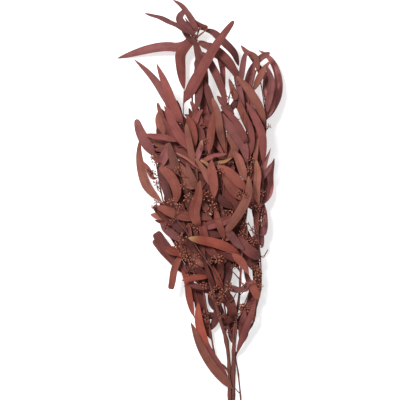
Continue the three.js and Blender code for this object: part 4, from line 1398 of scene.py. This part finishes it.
def make_cluster(name, points, heads, twig, umbels, on_top):
    """A stalk along the points, with a head on a side stalk of its own at each of the places. on_top raises
    the heads over what lies there."""
    last = len(points) - 1
    radii = [STALK_RADIUS - STALK_TAPER * index / last for index in range(len(points))]
    parts = [bend(twig, "stalk", points, radii)]
    for number, (x, y, size) in enumerate(heads):
        place = Vector((x, y, 0)) * MM
        near = min(range(len(points)), key=lambda index: (points[index].to_2d() - place.to_2d()).length)
        foot = points[max(near - 1, 0)]
        height = points[near].z + HEAD_ROOM
        if on_top:
            height = max([height] + [high + HEAD_ROOM for _, high in pile.spans(place.x, place.y)])
        hub = Vector((place.x, place.y, min(height, CEILING - HEAD_HEIGHT * size)))
        middle = foot.lerp(hub, 0.5) + ARCH * (hub - foot).length * UP
        parts.append(bend(twig, "stalk", [foot, middle, hub], SIDE_STALK_RADII))
        facing = (hub - foot).normalized() + chance.uniform(*FACING_UP) * UP
        parts.append(place_copy(umbels[number % len(umbels)], hub, facing.normalized(), size))
    cluster = joined(parts, name)
    set_attribute(cluster, "maroon_and_painted_shade", MAROON_AND_PAINTED_SHADE_OF.get(name, USUAL_MAROON_AND_PAINTED_SHADE))
    lay(cluster)
    return cluster


def make_node_clusters(twig, umbels):
    for name, *words in rows_of(NODE_CLUSTERS):
        node, marks = f"seeds_{name}", numbers_of(words)
        low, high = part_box(node)
        plan = curve_through(in_metres(marks[:STALK_PLACES]))
        _, centre, _ = nearest_stem(plan[0])
        height = low.z + STALK_LEVEL * (high.z - low.z)
        points = raised(plan, [height] * len(plan), centre)
        cluster = make_cluster(f"pods_{name}", points, marks[STALK_PLACES:], twig, umbels, False)
        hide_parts(node)


def make_small_clusters(twig, umbels):
    for name, level, *words in rows_of(SMALL_CLUSTERS):
        level, marks = level_of(level), numbers_of(words)
        plan = curve_through(in_metres(marks[:STALK_PLACES]))
        _, centre, radius = nearest_stem(plan[0])
        if (centre - plan[0]).to_2d().length > REACHES_STEM:
            plan = curve_through([centre.to_2d().to_3d(), *plan[1:]])
        foot = centre.z + radius
        wish = None if level is None else foot + level * MM
        heights = heights_along(plan, STALK_HALF_WIDTH, [0.0] * len(plan), foot, wish)
        points = raised(plan, heights, centre)
        make_cluster(f"pods_small_{name}", points, marks[STALK_PLACES:], twig, umbels, True)


# ---- Stems and twigs -----------------------------------------------------------------------------------

# Bare twigs: radius at the foot, level as for the leaves, route seen from above.
TWIGS = """
0.9 2 55,-216 68,-192 79,-170 85,-147
1.1 3 61,-102 53,-93 47,-87
1.1 2 50,-132 56,-120
1.1 3 67,-140 74,-122 77,-110
0.7 3 40,-180 49,-188
0.7 4 89,-60 95,-69 103,-57
0.6 3 97,-66 103,-56
1.5 6 -4,262 -8,267 -4,272 3,277
1.4 8 -4,262 5,269 13,275
0.8 4 37,153 43,171 50,185
0.6 4 43,171 37,180 36,188
0.8 3 50,142 61,139 65,150
0.6 3 -29,0 -40,12 -52,18
1 3 64,-107 70,-118 75,-112
0.9 1 61,-274 57,-270 53,-265
1.1 6 91,-74 82,-77 73,-81
"""
TWIG_TAPER = 0.5


def make_stems(blank):
    for name, (start, waist, end, route) in STEMS.items():
        stem = bend_stem(blank, f"branch_{name}", start, waist, end, route)
        if name == "left":
            stem = joined([stem, bend_stem(blank, "shoot", *SHOOT)], "branch_left")
        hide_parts(f"stem_{name}")
        lay(stem)


def make_twigs(twig):
    for number, (thickness, level, *route) in enumerate(rows_of(TWIGS), 1):
        plan = curve_through(in_metres(numbers_of(route)), FINE_STEP)
        _, centre, radius = nearest_stem(plan[0])
        if (centre - plan[0]).to_2d().length > REACHES_STEM:
            plan = curve_through([centre.to_2d().to_3d(), *plan], FINE_STEP)
        foot = centre.z + radius
        wish = foot + float(level) * MM
        heights = heights_along(plan, STALK_HALF_WIDTH, [0.0] * len(plan), foot, wish)
        points = raised(plan, heights, centre)
        count = len(points)
        radii = [float(thickness) * (1 - TWIG_TAPER * index / count) for index in range(count)]
        lay(bend(twig, f"twig_{number}", points, radii))


# ---- The bunch -----------------------------------------------------------------------------------------

add_camera()
light_scene()
add_table()

bark = bark_finish("stem_bark", (0.122, 0.038, 0.030), (0.20, 0.068, 0.05), (0.07, 0.026, 0.023))
pith = plain_finish("cut_pith", PALE_PITH, (0.26, 0.13, 0.075), 900, 0.8, 0.2 * MM)
# the husk's last tone is the darker maroon: partly the capsules' own colour, partly painted shade
husk = plain_finish(
    "capsule_husk", (0.31, 0.082, 0.042), (0.11, 0.032, 0.022), 300, 0.55, 0.3 * MM, (0.115, 0.024, 0.022)
)
# the rim: paler in its own right and painted brighter as a highlight; its last tone is a painted pink
# highlight on the darker maroon capsules
rim_and_highlight = plain_finish(
    "capsule_rim_and_painted_highlight", (0.68, 0.28, 0.145), (0.34, 0.11, 0.06), 160, 0.6, 0.2 * MM, (0.52, 0.165, 0.135)
)
dish = plain_finish("capsule_dish", (0.10, 0.032, 0.022), (0.05, 0.018, 0.014), 700, 0.8, 0.2 * MM)
capsule_finishes = (husk, rim_and_highlight, dish, bark)

stem_bar = bar_blank("stem_blank", STEM_SIDES, STEM_STEPS, (bark, pith), KNOT_EVERY)
mark_cut_end(stem_bar, 1)
stalk_bar = bar_blank("stalk_blank", TWIG_SIDES, TWIG_STEPS, capsule_finishes)
for face in stalk_bar.data.polygons:
    face.material_index = STALK
leaf_blanks = {
    outline: [leaf_blank(f"{outline}_blank", rows_of_outline(outline), *kind) for kind in BLADE_KINDS]
    for outline in OUTLINES
}
twig_bar = bar_blank("twig_blank", TWIG_SIDES, TWIG_STEPS, (bark,))
make_stems(stem_bar)
make_main_leaves(leaf_blanks)
capsule = capsule_blank(capsule_finishes)
umbels = [umbel_blank(capsule, count) for count in UMBEL_SIZES]
make_node_clusters(stalk_bar, umbels)
make_twigs(twig_bar)
make_small_leaves(leaf_blanks, twig_bar)
make_small_clusters(stalk_bar, umbels)
make_leaves_behind(leaf_blanks, twig_bar)
for blank in (stem_bar, stalk_bar, twig_bar, capsule, *sum(leaf_blanks.values(), []), *umbels):
    remove(blank)
